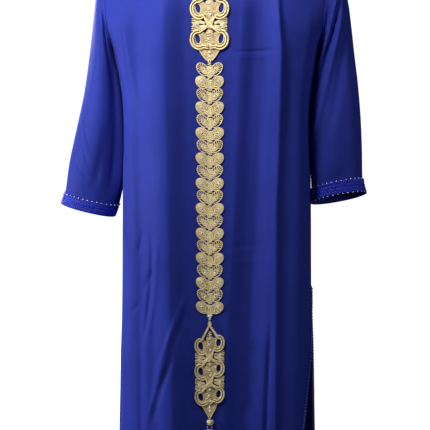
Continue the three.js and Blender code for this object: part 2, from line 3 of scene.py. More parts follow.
import bpy
import numpy as np
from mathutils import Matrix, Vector


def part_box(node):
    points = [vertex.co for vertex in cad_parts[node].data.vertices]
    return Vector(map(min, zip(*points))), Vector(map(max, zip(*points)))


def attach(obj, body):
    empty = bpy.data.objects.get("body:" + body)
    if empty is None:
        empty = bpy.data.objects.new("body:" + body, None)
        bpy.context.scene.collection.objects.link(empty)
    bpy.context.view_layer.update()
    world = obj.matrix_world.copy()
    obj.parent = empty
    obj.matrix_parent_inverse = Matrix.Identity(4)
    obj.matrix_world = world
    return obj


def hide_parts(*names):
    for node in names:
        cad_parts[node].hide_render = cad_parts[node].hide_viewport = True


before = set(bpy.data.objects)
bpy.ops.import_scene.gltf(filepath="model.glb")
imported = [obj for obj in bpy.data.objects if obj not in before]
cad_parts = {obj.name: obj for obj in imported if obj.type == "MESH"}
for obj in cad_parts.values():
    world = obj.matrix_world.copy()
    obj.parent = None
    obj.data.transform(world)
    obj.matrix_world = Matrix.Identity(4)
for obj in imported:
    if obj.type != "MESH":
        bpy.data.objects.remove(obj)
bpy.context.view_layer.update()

# ---------------------------------------------------------------------------
# The front: one length of polyester crepe from shoulder to hem, cut with a
# round neck and a slit that opens to the hem, sewn to the back at shoulders
# and sides. It hangs in a few long folds and one sharp pressed pleat.
# Sizes here are millimetres; x is across, z is up from the shoulder seam.
MM = 0.001
LENGTH = 1400
CLOTH = 1.1
SEAM = 0.4
NECK_HALF_WIDTH = 85
NECK_DROP = {"front": 70, "back": 14}
SHOULDER_END = 272
SHOULDER_SLOPE = 0.42
SHOULDER_ROUND = 30
SHOULDER_DEPTH = 200
SHOULDER_CURVE = 1.6
ARMPIT = -285
BODY_CURVE = 2.8
PLACKET = 56
SIDE_SLIT_TOP = -862
FRONT_SLIT_TOP = -1166
FRONT_SLIT_HALF = (1.2, 7.0)
PLEAT_TOP = -60
PLEAT_FADE = 150
PLEAT_RISE = 14
PLEAT_SHARPNESS = 3.0
PLEAT_FLANK = 16
PLEAT_INNER_FLANK = 72
FOLD_FADE = 160
SIDE_FADE = 0.5
HEM_FOLD = 22
HEM_RISE, HEM_STEP = 0.5, 1.5

# Shares of half a panel's columns: the flat middle, the pleat's crest and its
# outer foot, and the neckline's share of the top edge
FLAT_SHARE = 0.2
CREST_SHARE, FOOT_SHARE = 0.52, 0.6
NECK_SHARE = 0.36
UPPER_ROWS = 46

# height, half the width, then how far front and back stand from the sides
BODY = np.array([
    (0, 290, 130, 120), (-170, 288, 132, 124), (-285, 250, 134, 122), (-427, 229, 130, 112),
    (-640, 233, 130, 122), (-912, 238, 132, 132), (-1026, 243, 134, 134), (-1233, 249, 137, 138),
    (-1400, 254, 140, 142)], float)
DEPTH_COLUMN = {"front": 2, "back": 3}
# height, then the free front edge in degrees round, wearer's left and right
FRONT_EDGES = np.array([(-862, 90, 90), (-1026, 68, 88), (-1233, 51, 86), (-1400, 44, 84)], float)
PLEAT = ((0, 146), (-285, 164), (-640, 156), (-1400, 160))

# Hanging folds: top height, x at the top and the hem, inner and outer width, rise
FOLDS = {
    "front": (
        (-60, -108, -86, 50, 82, 26), (-60, -198, -190, 30, 26, 4), (-90, 118, 58, 36, 66, -17),
        (-300, 206, 202, 24, 24, 6), (-820, -150, -158, 26, 22, 6)),
    "back": (
        (-330, 118, 140, 52, 48, 18), (-300, 20, 34, 60, 52, -13), (-330, -88, -104, 48, 56, 19),
        (-420, -186, -184, 32, 30, -9), (-420, 200, 196, 34, 28, -8)),
}

# Creases, listed one by one: x, z of both ends, half width, rise, sideways bow
CREASES = {
    "front": (
        (24, -289, 168, -281, 4, -2.4, 3), (24, -297, 168, -290, 4, 1.4, 3),
        (40, -742, 150, -736, 6, -1.2, 2), (46, -784, 132, -780, 6, 1.0, -2),
        (-138, -690, -168, -1010, 5, -5.5, -10),
        (-122, -700, -154, -990, 6, 3.2, -9), (-34, -812, -140, -1120, 5, 4.6, 7),
        (-22, -826, -129, -1134, 6, -3.4, 7), (-81, -965, -158, -1200, 4, 3.8, 4),
        (-70, -975, -148, -1212, 5, -2.8, 4), (-161, -706, -177, -775, 4, -2.8, 2),
        (-128, -796, -160, -858, 4, -3.0, 3), (-174, -888, -195, -920, 4, -2.2, 1),
        (-178, -960, -184, -1400, 5, 1.8, 0), (-126, -1120, -132, -1400, 9, -3.0, -3),
        (146, -880, 132, -1400, 5, -6.0, 2), (-236, -140, -184, -460, 10, -4.5, 3),
        (-216, -150, -164, -450, 8, 2.6, 3), (226, -180, 208, -420, 11, 3.0, -4),
        (196, -230, 178, -520, 11, -2.4, 6), (118, -300, 128, -640, 16, 1.6, -5),
        (-150, -330, -136, -560, 16, 1.4, 5), (70, -960, 64, -1300, 12, 1.8, 4),
        (-66, -420, -70, -760, 9, -1.2, 3), (188, -640, 186, -900, 8, -2.0, 2),
        (222, -560, 214, -840, 8, 1.8, -2), (-214, -520, -206, -800, 10, 1.8, 3),
        (-198, -540, -190, -780, 8, -1.8, 3), (96, -470, 118, -560, 10, 1.0, 3),
    ),
    "back": (
        (-150, -470, -60, -560, 10, 2.4, 6), (-20, -500, 74, -590, 10, -2.2, 6),
        (150, -420, 96, -640, 10, 2.8, -6), (-60, -640, -72, -1010, 8, -3.2, 4),
        (60, -700, 74, -1120, 9, 3.2, -5), (170, -640, 176, -1380, 8, 3.6, 4),
        (-150, -800, -158, -1390, 8, 3.6, -4), (-30, -1000, -22, -1395, 10, 3.0, 4),
        (-190, -300, -160, -470, 10, 3.4, 5), (186, -300, 158, -480, 10, 3.4, -5),
        (110, -930, 128, -1060, 7, -3.0, 5), (-110, -380, -128, -520, 8, -2.4, 4),
        (150, -900, 96, -1150, 6, 3.6, 6), (141, -914, 86, -1160, 6, -2.6, 6),
        (-120, -760, -64, -900, 6, -2.8, -5), (206, -500, 190, -700, 6, -2.6, 4),
    ),
}
# A crease fades out over this share of its length, except at the hem, and
# starts a little way out from the flat middle under the embroidery
CREASE_ENDS = 0.3
CREASE_TO_HEM = 15
CREASE_MARGIN, CREASE_RUN_IN = 4, 14


def soft(t):
    """A step from 0 to 1 with soft ends."""
    t = np.clip(t, 0, 1)
    return t * t * (3 - 2 * t)


def mix(a, b, t):
    """The value a share t of the way from a to b."""
    return a + (b - a) * t


def along(table, place, column):
    """A column of a table at places between its rows, on a smooth curve."""
    table = table if table[0, 0] < table[-1, 0] else table[::-1]
    key, value = table[:, 0], table[:, column]
    slope = np.gradient(value, key)
    slope[1:-1] = (value[2:] - value[:-2]) / (key[2:] - key[:-2])
    row = np.clip(np.searchsorted(key, place) - 1, 0, len(key) - 2)
    span = key[row + 1] - key[row]
    t = np.clip((place - key[row]) / span, 0, 1)
    return (value[row] * (1 + 2 * t) * (1 - t) ** 2 + value[row + 1] * t * t * (3 - 2 * t)
            + span * (slope[row] * t * (1 - t) ** 2 + slope[row + 1] * t * t * (t - 1)))


def shoulder_height(x):
    """The shoulder seam, level beside the neck and then sloping down."""
    reach = np.maximum(np.abs(x), PLACKET) - NECK_HALF_WIDTH
    return SHOULDER_SLOPE / 2 * (SHOULDER_ROUND - reach - np.hypot(reach, SHOULDER_ROUND))


def pleat_x(z):
    """Where the crest of the pressed pleat runs."""
    heights, places = zip(*PLEAT[::-1])
    return np.interp(z, heights, places)


def crease_rise(x, z, creases):
    """Soft ridges and troughs, each bowed and fading out at both ends."""
    rise = np.zeros(np.broadcast(x, z).shape)
    for x0, z0, x1, z1, width, height, bow in creases:
        dx, dz = x1 - x0, z1 - z0
        length = math.hypot(dx, dz)
        t = ((x - x0) * dx + (z - z0) * dz) / length ** 2
        across = ((x - x0) * dz - (z - z0) * dx) / length - bow * 4 * t * (1 - t)
        low_end = soft((1 - t) / CREASE_ENDS) if z1 > -LENGTH + CREASE_TO_HEM else 1
        rise += height * np.exp(-(across / width) ** 2) * (soft(t / CREASE_ENDS) * low_end)
    return rise


def fold_rise(x, z, panel):
    """The long hanging folds and, on the front, the sharp pleat."""
    rise = np.zeros(np.broadcast(x, z).shape)
    for top, top_x, hem_x, inner, outer, height in FOLDS[panel]:
        crest = mix(top_x, hem_x, np.clip(z / -LENGTH, 0, 1))
        outward = (x - crest) * math.copysign(1, top_x)
        share = 1 - np.abs(outward) / np.where(outward > 0, outer, inner)
        rise += height * soft(share) * soft((top - z) / FOLD_FADE)
    if panel == "front":
        past = x - pleat_x(z)
        share = np.clip(1 - np.abs(past) / np.where(past > 0, PLEAT_FLANK, PLEAT_INNER_FLANK), 0, 1)
        rise += PLEAT_RISE * share ** PLEAT_SHARPNESS * soft((PLEAT_TOP - z) / PLEAT_FADE)
    return rise


def drape(x, z):
    """The slight unevenness of hanging cloth, under a millimetre."""
    return (0.45 * np.sin(x / 31 + z / 170 + 0.7) * np.sin(z / 97 + x / 240)
            + 0.3 * np.sin(x / 17 - z / 60 + 2.1) * np.sin(z / 41 + 0.4))


def panel_points(x, z, panel, proud=0.0, creased=True):
    """Points of the front or back, moved out by proud."""
    free = along(BODY, z, 1) - PLACKET
    reach = np.clip((np.abs(x) - PLACKET) / free, 0, 1)
    roundness = np.clip(1 - reach ** BODY_CURVE, 0, 1) ** (1 / BODY_CURVE)
    below = np.clip((shoulder_height(x) - z) / SHOULDER_DEPTH, 0, 1)
    close = (1 - (1 - below) ** SHOULDER_CURVE) ** (1 / SHOULDER_CURVE)
    depth = along(BODY, z, DEPTH_COLUMN[panel]) * close
    inward = soft(roundness / SIDE_FADE)
    rise = fold_rise(x, z, panel)
    if creased:
        beside = soft((np.abs(x) - PLACKET + CREASE_MARGIN) / CREASE_RUN_IN) if panel == "front" else 1
        rise = rise + beside * (crease_rise(x, z, CREASES[panel]) + drape(x, z))
    rise = rise * close * inward + proud
    slope_x = reach ** (BODY_CURVE - 1) / free
    slope_y = roundness ** (BODY_CURVE - 1) / np.maximum(depth, 1)
    steep = np.hypot(slope_x, slope_y)
    facing = -1 if panel == "front" else 1
    hem = HEM_RISE * soft((-LENGTH + HEM_FOLD - z) / HEM_STEP)
    return np.stack(np.broadcast_arrays(
        x + np.sign(x) * rise * slope_x / steep,
        facing * (SEAM / 2 + hem * inward + depth * roundness + rise * slope_y / steep),
        z), axis=-1)


def angle_to_x(degrees, free):
    """How far from the middle a place lies, from its angle round the body."""
    s, c = (np.clip(part(np.radians(degrees)), 0, 1) for part in (np.sin, np.cos))
    return PLACKET + free * np.where(
        degrees >= 90, 1, s / (s ** BODY_CURVE + c ** BODY_CURVE) ** (1 / BODY_CURVE))


def column_places(share, z, panel, side):
    """How far from the middle each column runs; share goes from 0 there to 1 at the edge."""
    free = along(BODY, z, 1) - PLACKET
    edge = np.full_like(z, 90.0)
    gap = np.zeros_like(z)
    if panel == "front":
        edge = np.where(z < SIDE_SLIT_TOP, along(FRONT_EDGES, z, 1 if side > 0 else 2), 90.0)
        down = (FRONT_SLIT_TOP - z) / (FRONT_SLIT_TOP + LENGTH)
        gap = np.where(down > 0, mix(*FRONT_SLIT_HALF, down), 0.0)
    middle = gap + (PLACKET - gap) * share / FLAT_SHARE
    if panel == "front" and side > 0:
        reach = (pleat_x(z) + PLEAT_FLANK - PLACKET) / free
        start = np.degrees(np.arctan2(reach, (1 - reach ** BODY_CURVE) ** (1 / BODY_CURVE)))
        to_crest = mix(PLACKET, pleat_x(z), (share - FLAT_SHARE) / (CREST_SHARE - FLAT_SHARE))
        to_foot = pleat_x(z) + PLEAT_FLANK * (share - CREST_SHARE) / (FOOT_SHARE - CREST_SHARE)
        to_edge = angle_to_x(mix(start, edge, (share - FOOT_SHARE) / (1 - FOOT_SHARE)), free)
        places = np.where(share < CREST_SHARE, to_crest, to_foot)
        places = np.where(share < FOOT_SHARE, places, to_edge)
    else:
        places = angle_to_x(mix(0.0, edge, (share - FLAT_SHARE) / (1 - FLAT_SHARE)), free)
    return np.where(share < FLAT_SHARE, middle, places)


def top_places(share, panel):
    """The neckline and shoulder seam over each column."""
    turn = np.clip(share / NECK_SHARE, 0, 1) * math.pi / 2
    seam_x = mix(NECK_HALF_WIDTH, SHOULDER_END, (share - NECK_SHARE) / (1 - NECK_SHARE))
    x = np.where(share < NECK_SHARE, NECK_HALF_WIDTH * np.sin(turn), seam_x)
    z = np.where(share < NECK_SHARE, -NECK_DROP[panel] * np.cos(turn), shoulder_height(x))
    return x, z


def half_panel(panel, side, columns, row_step):
    """One half of a panel as rows of points from the shoulder to the hem."""
    share = np.linspace(0, 1, columns)[None, :]
    down = (1 - np.cos(np.linspace(0, math.pi, UPPER_ROWS)))[:, None] / 2
    top_x, top_z = top_places(share, panel)
    low = column_places(share, np.full_like(share, ARMPIT, dtype=float), panel, side)
    upper = panel_points(side * mix(top_x, low, down), mix(top_z, ARMPIT, down), panel)
    z = np.linspace(ARMPIT, -LENGTH, round((ARMPIT + LENGTH) / row_step))[1:, None]
    z = np.broadcast_to(z, (len(z), columns))
    lower = panel_points(side * column_places(share, z, panel, side), z, panel)
    return np.concatenate([upper, lower])


def whole_panel(panel, columns, row_step):
    """Both halves of a panel, with columns that run anticlockwise from above."""
    first = -1 if panel == "front" else 1
    return [half_panel(panel, first, columns, row_step)[:, ::-1],
            half_panel(panel, -first, columns, row_step)]


def only(*objects):
    """Selects these objects alone, with the last one active."""
    bpy.ops.object.select_all(action="DESELECT")
    for obj in objects:
        obj.select_set(True)
    bpy.context.view_layer.objects.active = objects[-1]


def surface(name, grids, closed=False):
    """A sheet with no thickness over grids of points in mm."""
    points, faces = [], []
    for grid in grids:
        rows, columns = grid.shape[:2]
        start = sum(len(p) for p in points)
        index = start + np.arange(rows * columns).reshape(rows, columns)
        if closed:
            index = np.concatenate([index, index[:, :1]], axis=1)
        points.append(grid.reshape(-1, 3))
        faces.append(np.stack([index[:-1, :-1], index[1:, :-1], index[1:, 1:], index[:-1, 1:]],
                              axis=-1).reshape(-1, 4))
    mesh = bpy.data.meshes.new(name)
    mesh.from_pydata((np.concatenate(points) * MM).tolist(), [], np.concatenate(faces).tolist())
    obj = bpy.data.objects.new(name, mesh)
    bpy.context.scene.collection.objects.link(obj)
    only(obj)
    bpy.ops.object.mode_set(mode="EDIT")
    bpy.ops.mesh.select_all(action="SELECT")
    bpy.ops.mesh.remove_doubles(threshold=0.02 * MM)
    bpy.ops.object.mode_set(mode="OBJECT")
    return obj


def thickened(obj, thickness):
    """Gives a sheet its wall in mm, inwards from its outer face."""
    wall = obj.modifiers.new("wall", "SOLIDIFY")
    wall.thickness, wall.offset = thickness * MM, -1
    bpy.ops.object.modifier_apply(modifier="wall")
    bpy.ops.object.shade_smooth()
    return obj


def linear(colour):
    """An sRGB hex colour as linear values for a shader."""
    parts = [int(colour[i:i + 2], 16) / 255 for i in (1, 3, 5)]
    return [p / 12.92 if p <= 0.04045 else ((p + 0.055) / 1.055) ** 2.4 for p in parts] + [1.0]


def new_material(name):
    """A material with its node tree and its Principled shader."""
    material = bpy.data.materials.new(name)
    material.use_nodes = True
    return material, material.node_tree, material.node_tree.nodes["Principled BSDF"]


def add(tree, kind, values=None, links=None, **settings):
    """Adds a node: values set its inputs, links join its inputs to outputs."""
    node = tree.nodes.new(kind)
    for key, value in settings.items():
        setattr(node, key, value)
    for key, value in (values or {}).items():
        node.inputs[key].default_value = value
    for key, socket in (links or {}).items():
        tree.links.new(socket, node.inputs[key])
    return node


def crepe_material():
    """Polyester crepe, piece-dyed royal blue. Its high-twist yarn gives a fine
    pebbled grain of about 0.7 mm, a dry surface and a soft sheen at the edges.
    The grain is drawn at 2.4 mm as well, as the finer one is too small to show.
    The dye is a little uneven over about 11 cm, and handling has left faint
    upright rumples about 20 mm wide."""
    material, tree, shader = new_material("polyester_crepe_royal_blue")
    place = add(tree, "ShaderNodeTexCoord").outputs["Object"]
    cloudy = add(tree, "ShaderNodeTexNoise", {"Scale": 1 / (111 * MM), "Detail": 3.0, "Roughness": 0.55},
                 {"Vector": place})
    tone = add(tree, "ShaderNodeValToRGB", links={"Fac": cloudy.outputs["Fac"]})
    tone.color_ramp.elements[0].position, tone.color_ramp.elements[1].position = 0.3, 0.7
    tone.color_ramp.elements[0].color = linear("#283597")
    tone.color_ramp.elements[1].color = linear("#2c3aa3")
    grain = add(tree, "ShaderNodeTexNoise", {"Scale": 1 / (0.7 * MM), "Detail": 2.0}, {"Vector": place})
    pebble = add(tree, "ShaderNodeTexNoise", {"Scale": 1 / (2.4 * MM), "Detail": 3.0}, {"Vector": place})
    fine = add(tree, "ShaderNodeBump", {"Strength": 0.25, "Distance": 0.2 * MM},
               {"Height": grain.outputs["Fac"]})
    bump = add(tree, "ShaderNodeBump", {"Strength": 0.3, "Distance": 0.35 * MM},
               {"Height": pebble.outputs["Fac"], "Normal": fine.outputs["Normal"]})
    upright = add(tree, "ShaderNodeMapping", {"Scale": (1.0, 1.0, 0.3)}, {"Vector": place})
    rumple = add(tree, "ShaderNodeTexNoise", {"Scale": 1 / (20 * MM), "Detail": 1.5},
                 {"Vector": upright.outputs["Vector"]})
    handled = add(tree, "ShaderNodeBump", {"Strength": 0.6, "Distance": 2.4 * MM},
                  {"Height": rumple.outputs["Fac"], "Normal": bump.outputs["Normal"]})
    tree.links.new(tone.outputs["Color"], shader.inputs["Base Color"])
    tree.links.new(handled.outputs["Normal"], shader.inputs["Normal"])
    shader.inputs["Roughness"].default_value = 0.6
    shader.inputs["Specular IOR Level"].default_value = 0.06
    shader.inputs["Sheen Weight"].default_value = 0.08
    shader.inputs["Sheen Roughness"].default_value = 0.45
    shader.inputs["Sheen Tint"].default_value = linear("#8890d4")
    return material


def dress(obj, material, slot, *nodes):
    """Gives a piece its material and its place in the frame."""
    obj.data.materials.clear()
    obj.data.materials.append(material)
    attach(obj, "root")
    if nodes:
        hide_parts(*nodes)
    return obj


crepe = crepe_material()
front_grids = whole_panel("front", columns=92, row_step=6)
front = dress(thickened(surface("front_cloth", front_grids), CLOTH), crepe, "crepe", "front_panel")

# ---------------------------------------------------------------------------
# The back: a second length of the same crepe, joined to the front at the
# shoulders and down to the side slits. It hangs in broader, softer folds.
back_grids = whole_panel("back", columns=62, row_step=7)
back = dress(thickened(surface("back_cloth", back_grids), CLOTH), crepe, "crepe", "back_panel")

# ---------------------------------------------------------------------------
# The sleeves: one piece of crepe each, set into the armhole and seamed under
# the arm. They hang beside the body and widen a little towards the cuff.
# station, outer edge x z, inner edge x z, half depth, how the back hangs lower
SLEEVES = {
    -1: np.array([
        (0, 272.7, -72.6, 250.7, -285.0, 62, 0), (1, 286, -106, 249.0, -294, 64, 0),
        (2, 294, -138, 246.0, -308, 66, 0), (3, 300, -182, 240.2, -336, 68, 0),
        (4, 308, -240, 235.0, -378, 67, 0), (5, 318, -306, 231.5, -428, 64, 0),
        (6, 332, -385, 231.0, -485, 60, 0), (7, 353, -470, 233.0, -548, 55, 0),
        (8, 374, -556, 238.0, -610, 50, 0), (9, 387, -633, 250.0, -664, 46, 0),
        (10, 397, -663, 261.0, -695, 45, 0)], float),
    1: np.array([
        (0, 272.7, -72.6, 250.7, -285.0, 62, 0), (1, 291, -102, 248.2, -294, 64, 0),
        (2, 305, -133, 245.1, -308, 66, 0), (3, 316, -174, 240.0, -336, 68, 0),
        (4, 324, -228, 233.8, -374, 67, -0.02), (5, 332, -290, 229.6, -418, 64, -0.05),
        (6, 342, -362, 228.1, -468, 61, -0.09), (7, 350, -440, 228.9, -520, 57, -0.14),
        (8, 355, -520, 230.8, -570, 53, -0.2), (9, 358, -592, 233.8, -618, 49, -0.26),
        (10, 366, -627, 234.9, -654, 48, -0.3)], float),
}
SLEEVE_CURVE = 2.2
BAND_START, SLEEVE_END = 9, 10
# Long folds: angle from the outer edge towards the front, spread, rise, from and to station
SLEEVE_FOLDS = {
    -1: ((94, 54, 11, 2, 9), (130, 24, -7, 2, 9), (155, 25, 8, 1, 9), (-64, 40, 4, 2, 9),
         (-120, 36, -4, 3, 9)),
    1: ((58, 34, 4, 2, 9), (118, 40, -5, 3, 9), (-64, 40, 4, 2, 9), (-120, 36, -4, 3, 9)),
}
# Creases: angle and station of both ends, half width in degrees, rise in mm
SLEEVE_CREASES = {
    -1: ((96, 0.4, 128, 4.6, 7, -3.4), (78, 0.5, 112, 4.2, 8, 3.0), (34, 6.4, 84, 7.5, 5, 3.4),
         (40, 6.8, 88, 7.8, 4, -3.0), (112, 6.0, 96, 8.8, 8, -3.2), (30, 7.6, 92, 8.3, 4, -2.4),
         (132, 5.0, 120, 8.6, 7, 2.2), (-40, 4.0, -84, 6.2, 8, 2.0), (-100, 5.5, -70, 8.4, 8, -2.4),
         (40, 7.9, 100, 8.6, 4, 2.2)),
    1: ((40, 1.2, 170, 3.6, 22, 7.0), (46, 1.7, 168, 5.2, 16, -7.0), (38, 2.0, 162, 7.4, 13, 8.0),
        (30, 3.0, 116, 7.6, 12, -5.0), (98, 5.6, 90, 9.6, 16, 7.0), (24, 6.4, 50, 7.4, 6, -1.6),
        (-50, 3.6, -92, 6.0, 8, 2.0), (-112, 5.4, -84, 8.5, 8, -2.4)),
}
SLEEVE_FOLD_FADE = 2
ARMHOLE_OUT = 0.7
ARMHOLE_BLEND = 1.2


def off_angle(turn, angle):
    """How many degrees lie between two angles round the sleeve."""
    return np.abs((turn - angle + 540) % 360 - 180)


def sleeve_points(side, station, turn, proud=0.0):
    """Points of a sleeve; turn is in degrees from its outer edge, 90 at the front."""
    outer_x, outer_z, inner_x, inner_z, depth, lower_back = (
        along(SLEEVES[side], station, column) for column in range(1, 7))
    s, c = np.sin(np.radians(turn)), np.cos(np.radians(turn))
    bulge = (np.abs(s) ** SLEEVE_CURVE + np.abs(c) ** SLEEVE_CURVE) ** (-1 / SLEEVE_CURVE)
    rise = np.zeros(np.broadcast(station, turn).shape)
    for angle, spread, height, first, last in SLEEVE_FOLDS[side]:
        rise += (height * soft(1 - off_angle(turn, angle) / spread)
                 * soft((station - first) / SLEEVE_FOLD_FADE) * soft((last - station) / SLEEVE_FOLD_FADE))
    for angle0, station0, angle1, station1, width, height in SLEEVE_CREASES[side]:
        t = (station - station0) / (station1 - station0)
        off = off_angle(turn, mix(angle0, angle1, t))
        rise += height * np.exp(-(off / width) ** 2) * soft(t / CREASE_ENDS) * soft((1 - t) / CREASE_ENDS)
    rise = rise * soft(BAND_START + 0.1 - station) + proud
    half = np.hypot(outer_x - inner_x, outer_z - inner_z) / 2
    reach = c * bulge * (half + rise) / (2 * half)
    x = (outer_x + inner_x) / 2 + (outer_x - inner_x) * reach
    z = (outer_z + inner_z) / 2 + (outer_z - inner_z) * reach
    y = -s * bulge * (depth + rise)
    return np.stack(np.broadcast_arrays(side * x, y, z + lower_back * y), axis=-1)


def armhole_points(side, turn):
    """The edge of the armhole, front and back, that the sleeve is sewn to."""
    share = (1 - np.cos(np.radians(turn))) / 2
    low = along(BODY, np.array(float(ARMPIT)), 1)
    x = mix(SHOULDER_END, low, share)
    z = mix(shoulder_height(SHOULDER_END), ARMPIT, share)
    front_half = (np.sin(np.radians(turn)) > 0)[..., None]
    points = np.where(front_half, panel_points(side * x, z, "front"), panel_points(side * x, z, "back"))
    return points + np.array([side * ARMHOLE_OUT, 0, 0])


def sleeve_grid(side):
    """Rings of points from the armhole to the cuff."""
    columns, rows = 120, 110
    turn = (np.arange(columns) * -side * 360 / columns)[None, :]
    station = np.linspace(0, SLEEVE_END, rows)[:, None]
    grid = sleeve_points(side, station, turn)
    start = armhole_points(side, turn) - grid[:1]
    return grid + start * (1 - soft(station / ARMHOLE_BLEND))[..., None]


for side, name in ((-1, "right"), (1, "left")):
    grid = sleeve_grid(side)
    sleeve = thickened(surface(f"sleeve_{name}_cloth", [grid], closed=True), CLOTH)
    dress(sleeve, crepe, "crepe", f"sleeve_{name}")

# ---------------------------------------------------------------------------
# The cuff braids: a flat band of blue rayon cord, plaited by hand, sewn round
# each sleeve end. Pale stitches hold it, one row on the right and two on the left.
# the gap under a sewn cord, the band's wall and the lanes of strands side by side
CORD_GAP = 0.4
BRAID_WALL = 0.9
PLAIT_LANES = 4
PLAIT_HEIGHT = 2.4
STRAND_SPACING = 6.4
STRAND_LEAN = 0.8
LANE_SHIFT = 0.37
SCALLOP_SPACING, SCALLOP_DEPTH = 9, 0.06
# the plait is pressed flat against the body past this share of the way inwards
FLAT_FROM, FLAT_OVER = 0.6, 0.25
STITCH_RADIUS, STITCH_SPACING, STITCH_PROUD = 1.7, 11.5, 1.8
# where each row of stitches lies, as a share of the band's width
STITCH_ROWS = {"right": (0.02,), "left": (0.02, 0.96)}


def braid_material():
    """Plaited rayon cord: the same blue as the cloth but glossier, because the
    filaments lie smooth along each strand."""
    material, tree, shader = new_material("plaited_rayon_braid_blue")
    place = add(tree, "ShaderNodeTexCoord").outputs["Object"]
    strands = add(tree, "ShaderNodeTexNoise", {"Scale": 1 / (1.6 * MM), "Detail": 2.0}, {"Vector": place})
    tone = add(tree, "ShaderNodeValToRGB", links={"Fac": strands.outputs["Fac"]})
    tone.color_ramp.elements[0].position, tone.color_ramp.elements[1].position = 0.35, 0.65
    tone.color_ramp.elements[0].color = linear("#151e86")
    tone.color_ramp.elements[1].color = linear("#3342e0")
    bump = add(tree, "ShaderNodeBump", {"Strength": 0.4, "Distance": 0.3 * MM},
               {"Height": strands.outputs["Fac"]})
    tree.links.new(tone.outputs["Color"], shader.inputs["Base Color"])
    tree.links.new(bump.outputs["Normal"], shader.inputs["Normal"])
    shader.inputs["Roughness"].default_value = 0.45
    shader.inputs["Specular IOR Level"].default_value = 0.2
    return material


def stitch_material():
    """Pale silk hand stitches, slightly glossy."""
    material, tree, shader = new_material("silk_stitch_ivory")
    place = add(tree, "ShaderNodeTexCoord").outputs["Object"]
    twist = add(tree, "ShaderNodeTexNoise", {"Scale": 1 / (0.8 * MM)}, {"Vector": place})
    tone = add(tree, "ShaderNodeValToRGB", links={"Fac": twist.outputs["Fac"]})
    tone.color_ramp.elements[0].color = linear("#c9c4cf")
    tone.color_ramp.elements[1].color = linear("#fbf6ee")
    tree.links.new(tone.outputs["Color"], shader.inputs["Base Color"])
    shader.inputs["Roughness"].default_value = 0.45
    return material


def plait(around, across):
    """Height in mm of a plait of slanting strands; across goes from 0 to 1 over its width."""
    lane = across * PLAIT_LANES
    number, inside = np.floor(lane), lane % 1
    lean = np.where(number % 2 == 0, 1, -1)
    strand = np.abs(np.sin(math.pi * (around / STRAND_SPACING + lean * inside * STRAND_LEAN
                                      + LANE_SHIFT * number)))
    return PLAIT_HEIGHT * np.sqrt(strand) * np.sin(math.pi * inside) ** 0.3


def scatter(name, places, small, material, slot):
    """One joined mesh of copies of a small form at places in mm."""
    mesh = small.data
    points = np.array([v.co[:] for v in mesh.vertices])
    faces = [tuple(p.vertices) for p in mesh.polygons]
    copies, all_faces = [], []
    for number, place in enumerate(places):
        copies.append(points + np.asarray(place) * MM)
        all_faces += [tuple(v + number * len(points) for v in face) for face in faces]
    joined = bpy.data.meshes.new(name)
    joined.from_pydata(np.concatenate(copies).tolist(), [], all_faces)
    obj = bpy.data.objects.new(name, joined)
    bpy.context.scene.collection.objects.link(obj)
    only(obj)
    bpy.ops.object.shade_smooth()
    return dress(obj, material, slot)


def take(obj):
    """Puts a primitive's place and turn into its mesh."""
    only(obj)
    bpy.ops.object.transform_apply(location=True, rotation=True, scale=True)
    return obj


def bead(radius, height=1.0):
    """A small ball to copy, of a radius in mm, pressed to a share of its height."""
    bpy.ops.object.select_all(action="DESELECT")
    bpy.ops.mesh.primitive_uv_sphere_add(segments=8, ring_count=6, radius=radius * MM)
    bpy.context.object.scale.z = height
    return take(bpy.context.object)


braid_blue = braid_material()
ivory = stitch_material()
stitch_bead = bead(STITCH_RADIUS, 0.8)
for side, name in ((-1, "right"), (1, "left")):
    columns, rows = 480, 31
    turn = (np.arange(columns) * -side * 360 / columns)[None, :]
    across = np.linspace(0, 1, rows)[:, None]
    ring = sleeve_points(side, BAND_START + 0.5, turn)[0]
    steps = np.linalg.norm(np.diff(ring, axis=0, append=ring[:1]), axis=1)
    around = np.concatenate([[0], np.cumsum(steps)[:-1]])[None, :]
    pressed = soft((-np.cos(np.radians(turn)) - FLAT_FROM) / FLAT_OVER)
    height = CORD_GAP + BRAID_WALL + plait(around, across) * (1 - pressed)
    scallop = SCALLOP_DEPTH * np.abs(np.sin(math.pi * around / SCALLOP_SPACING))
    grid = sleeve_points(side, BAND_START + across * (1 - scallop), turn, height)
    dress(thickened(surface(f"cuff_braid_{name}_plait", [grid], closed=True), BRAID_WALL), braid_blue,
          "silk_braid", f"cuff_braid_{name}")
    places = []
    for edge in STITCH_ROWS[name]:
        count = round(steps.sum() / STITCH_SPACING)
        spots = np.interp(np.linspace(0, steps.sum(), count, endpoint=False), around[0], turn[0])
        places += list(sleeve_points(side, np.full(count, BAND_START + edge), spots, CORD_GAP + STITCH_PROUD))
    scatter(f"cuff_stitches_{name}", places, stitch_bead, ivory, "silk_braid")

# ---------------------------------------------------------------------------
# The hood: a deep pointed pouch of the same crepe, hung from the back of the
# neck, open at the top and lying on the upper back.
# height, half the width, half the swell away from the back
HOOD = np.array([
    (-12, 86, 48), (-36, 104, 43), (-76, 115, 38), (-126, 113, 34), (-180, 99, 29),
    (-232, 77, 22), (-282, 50, 15), (-322, 26, 10), (-342, 9, 6)], float)
HOOD_GAP = 1.6


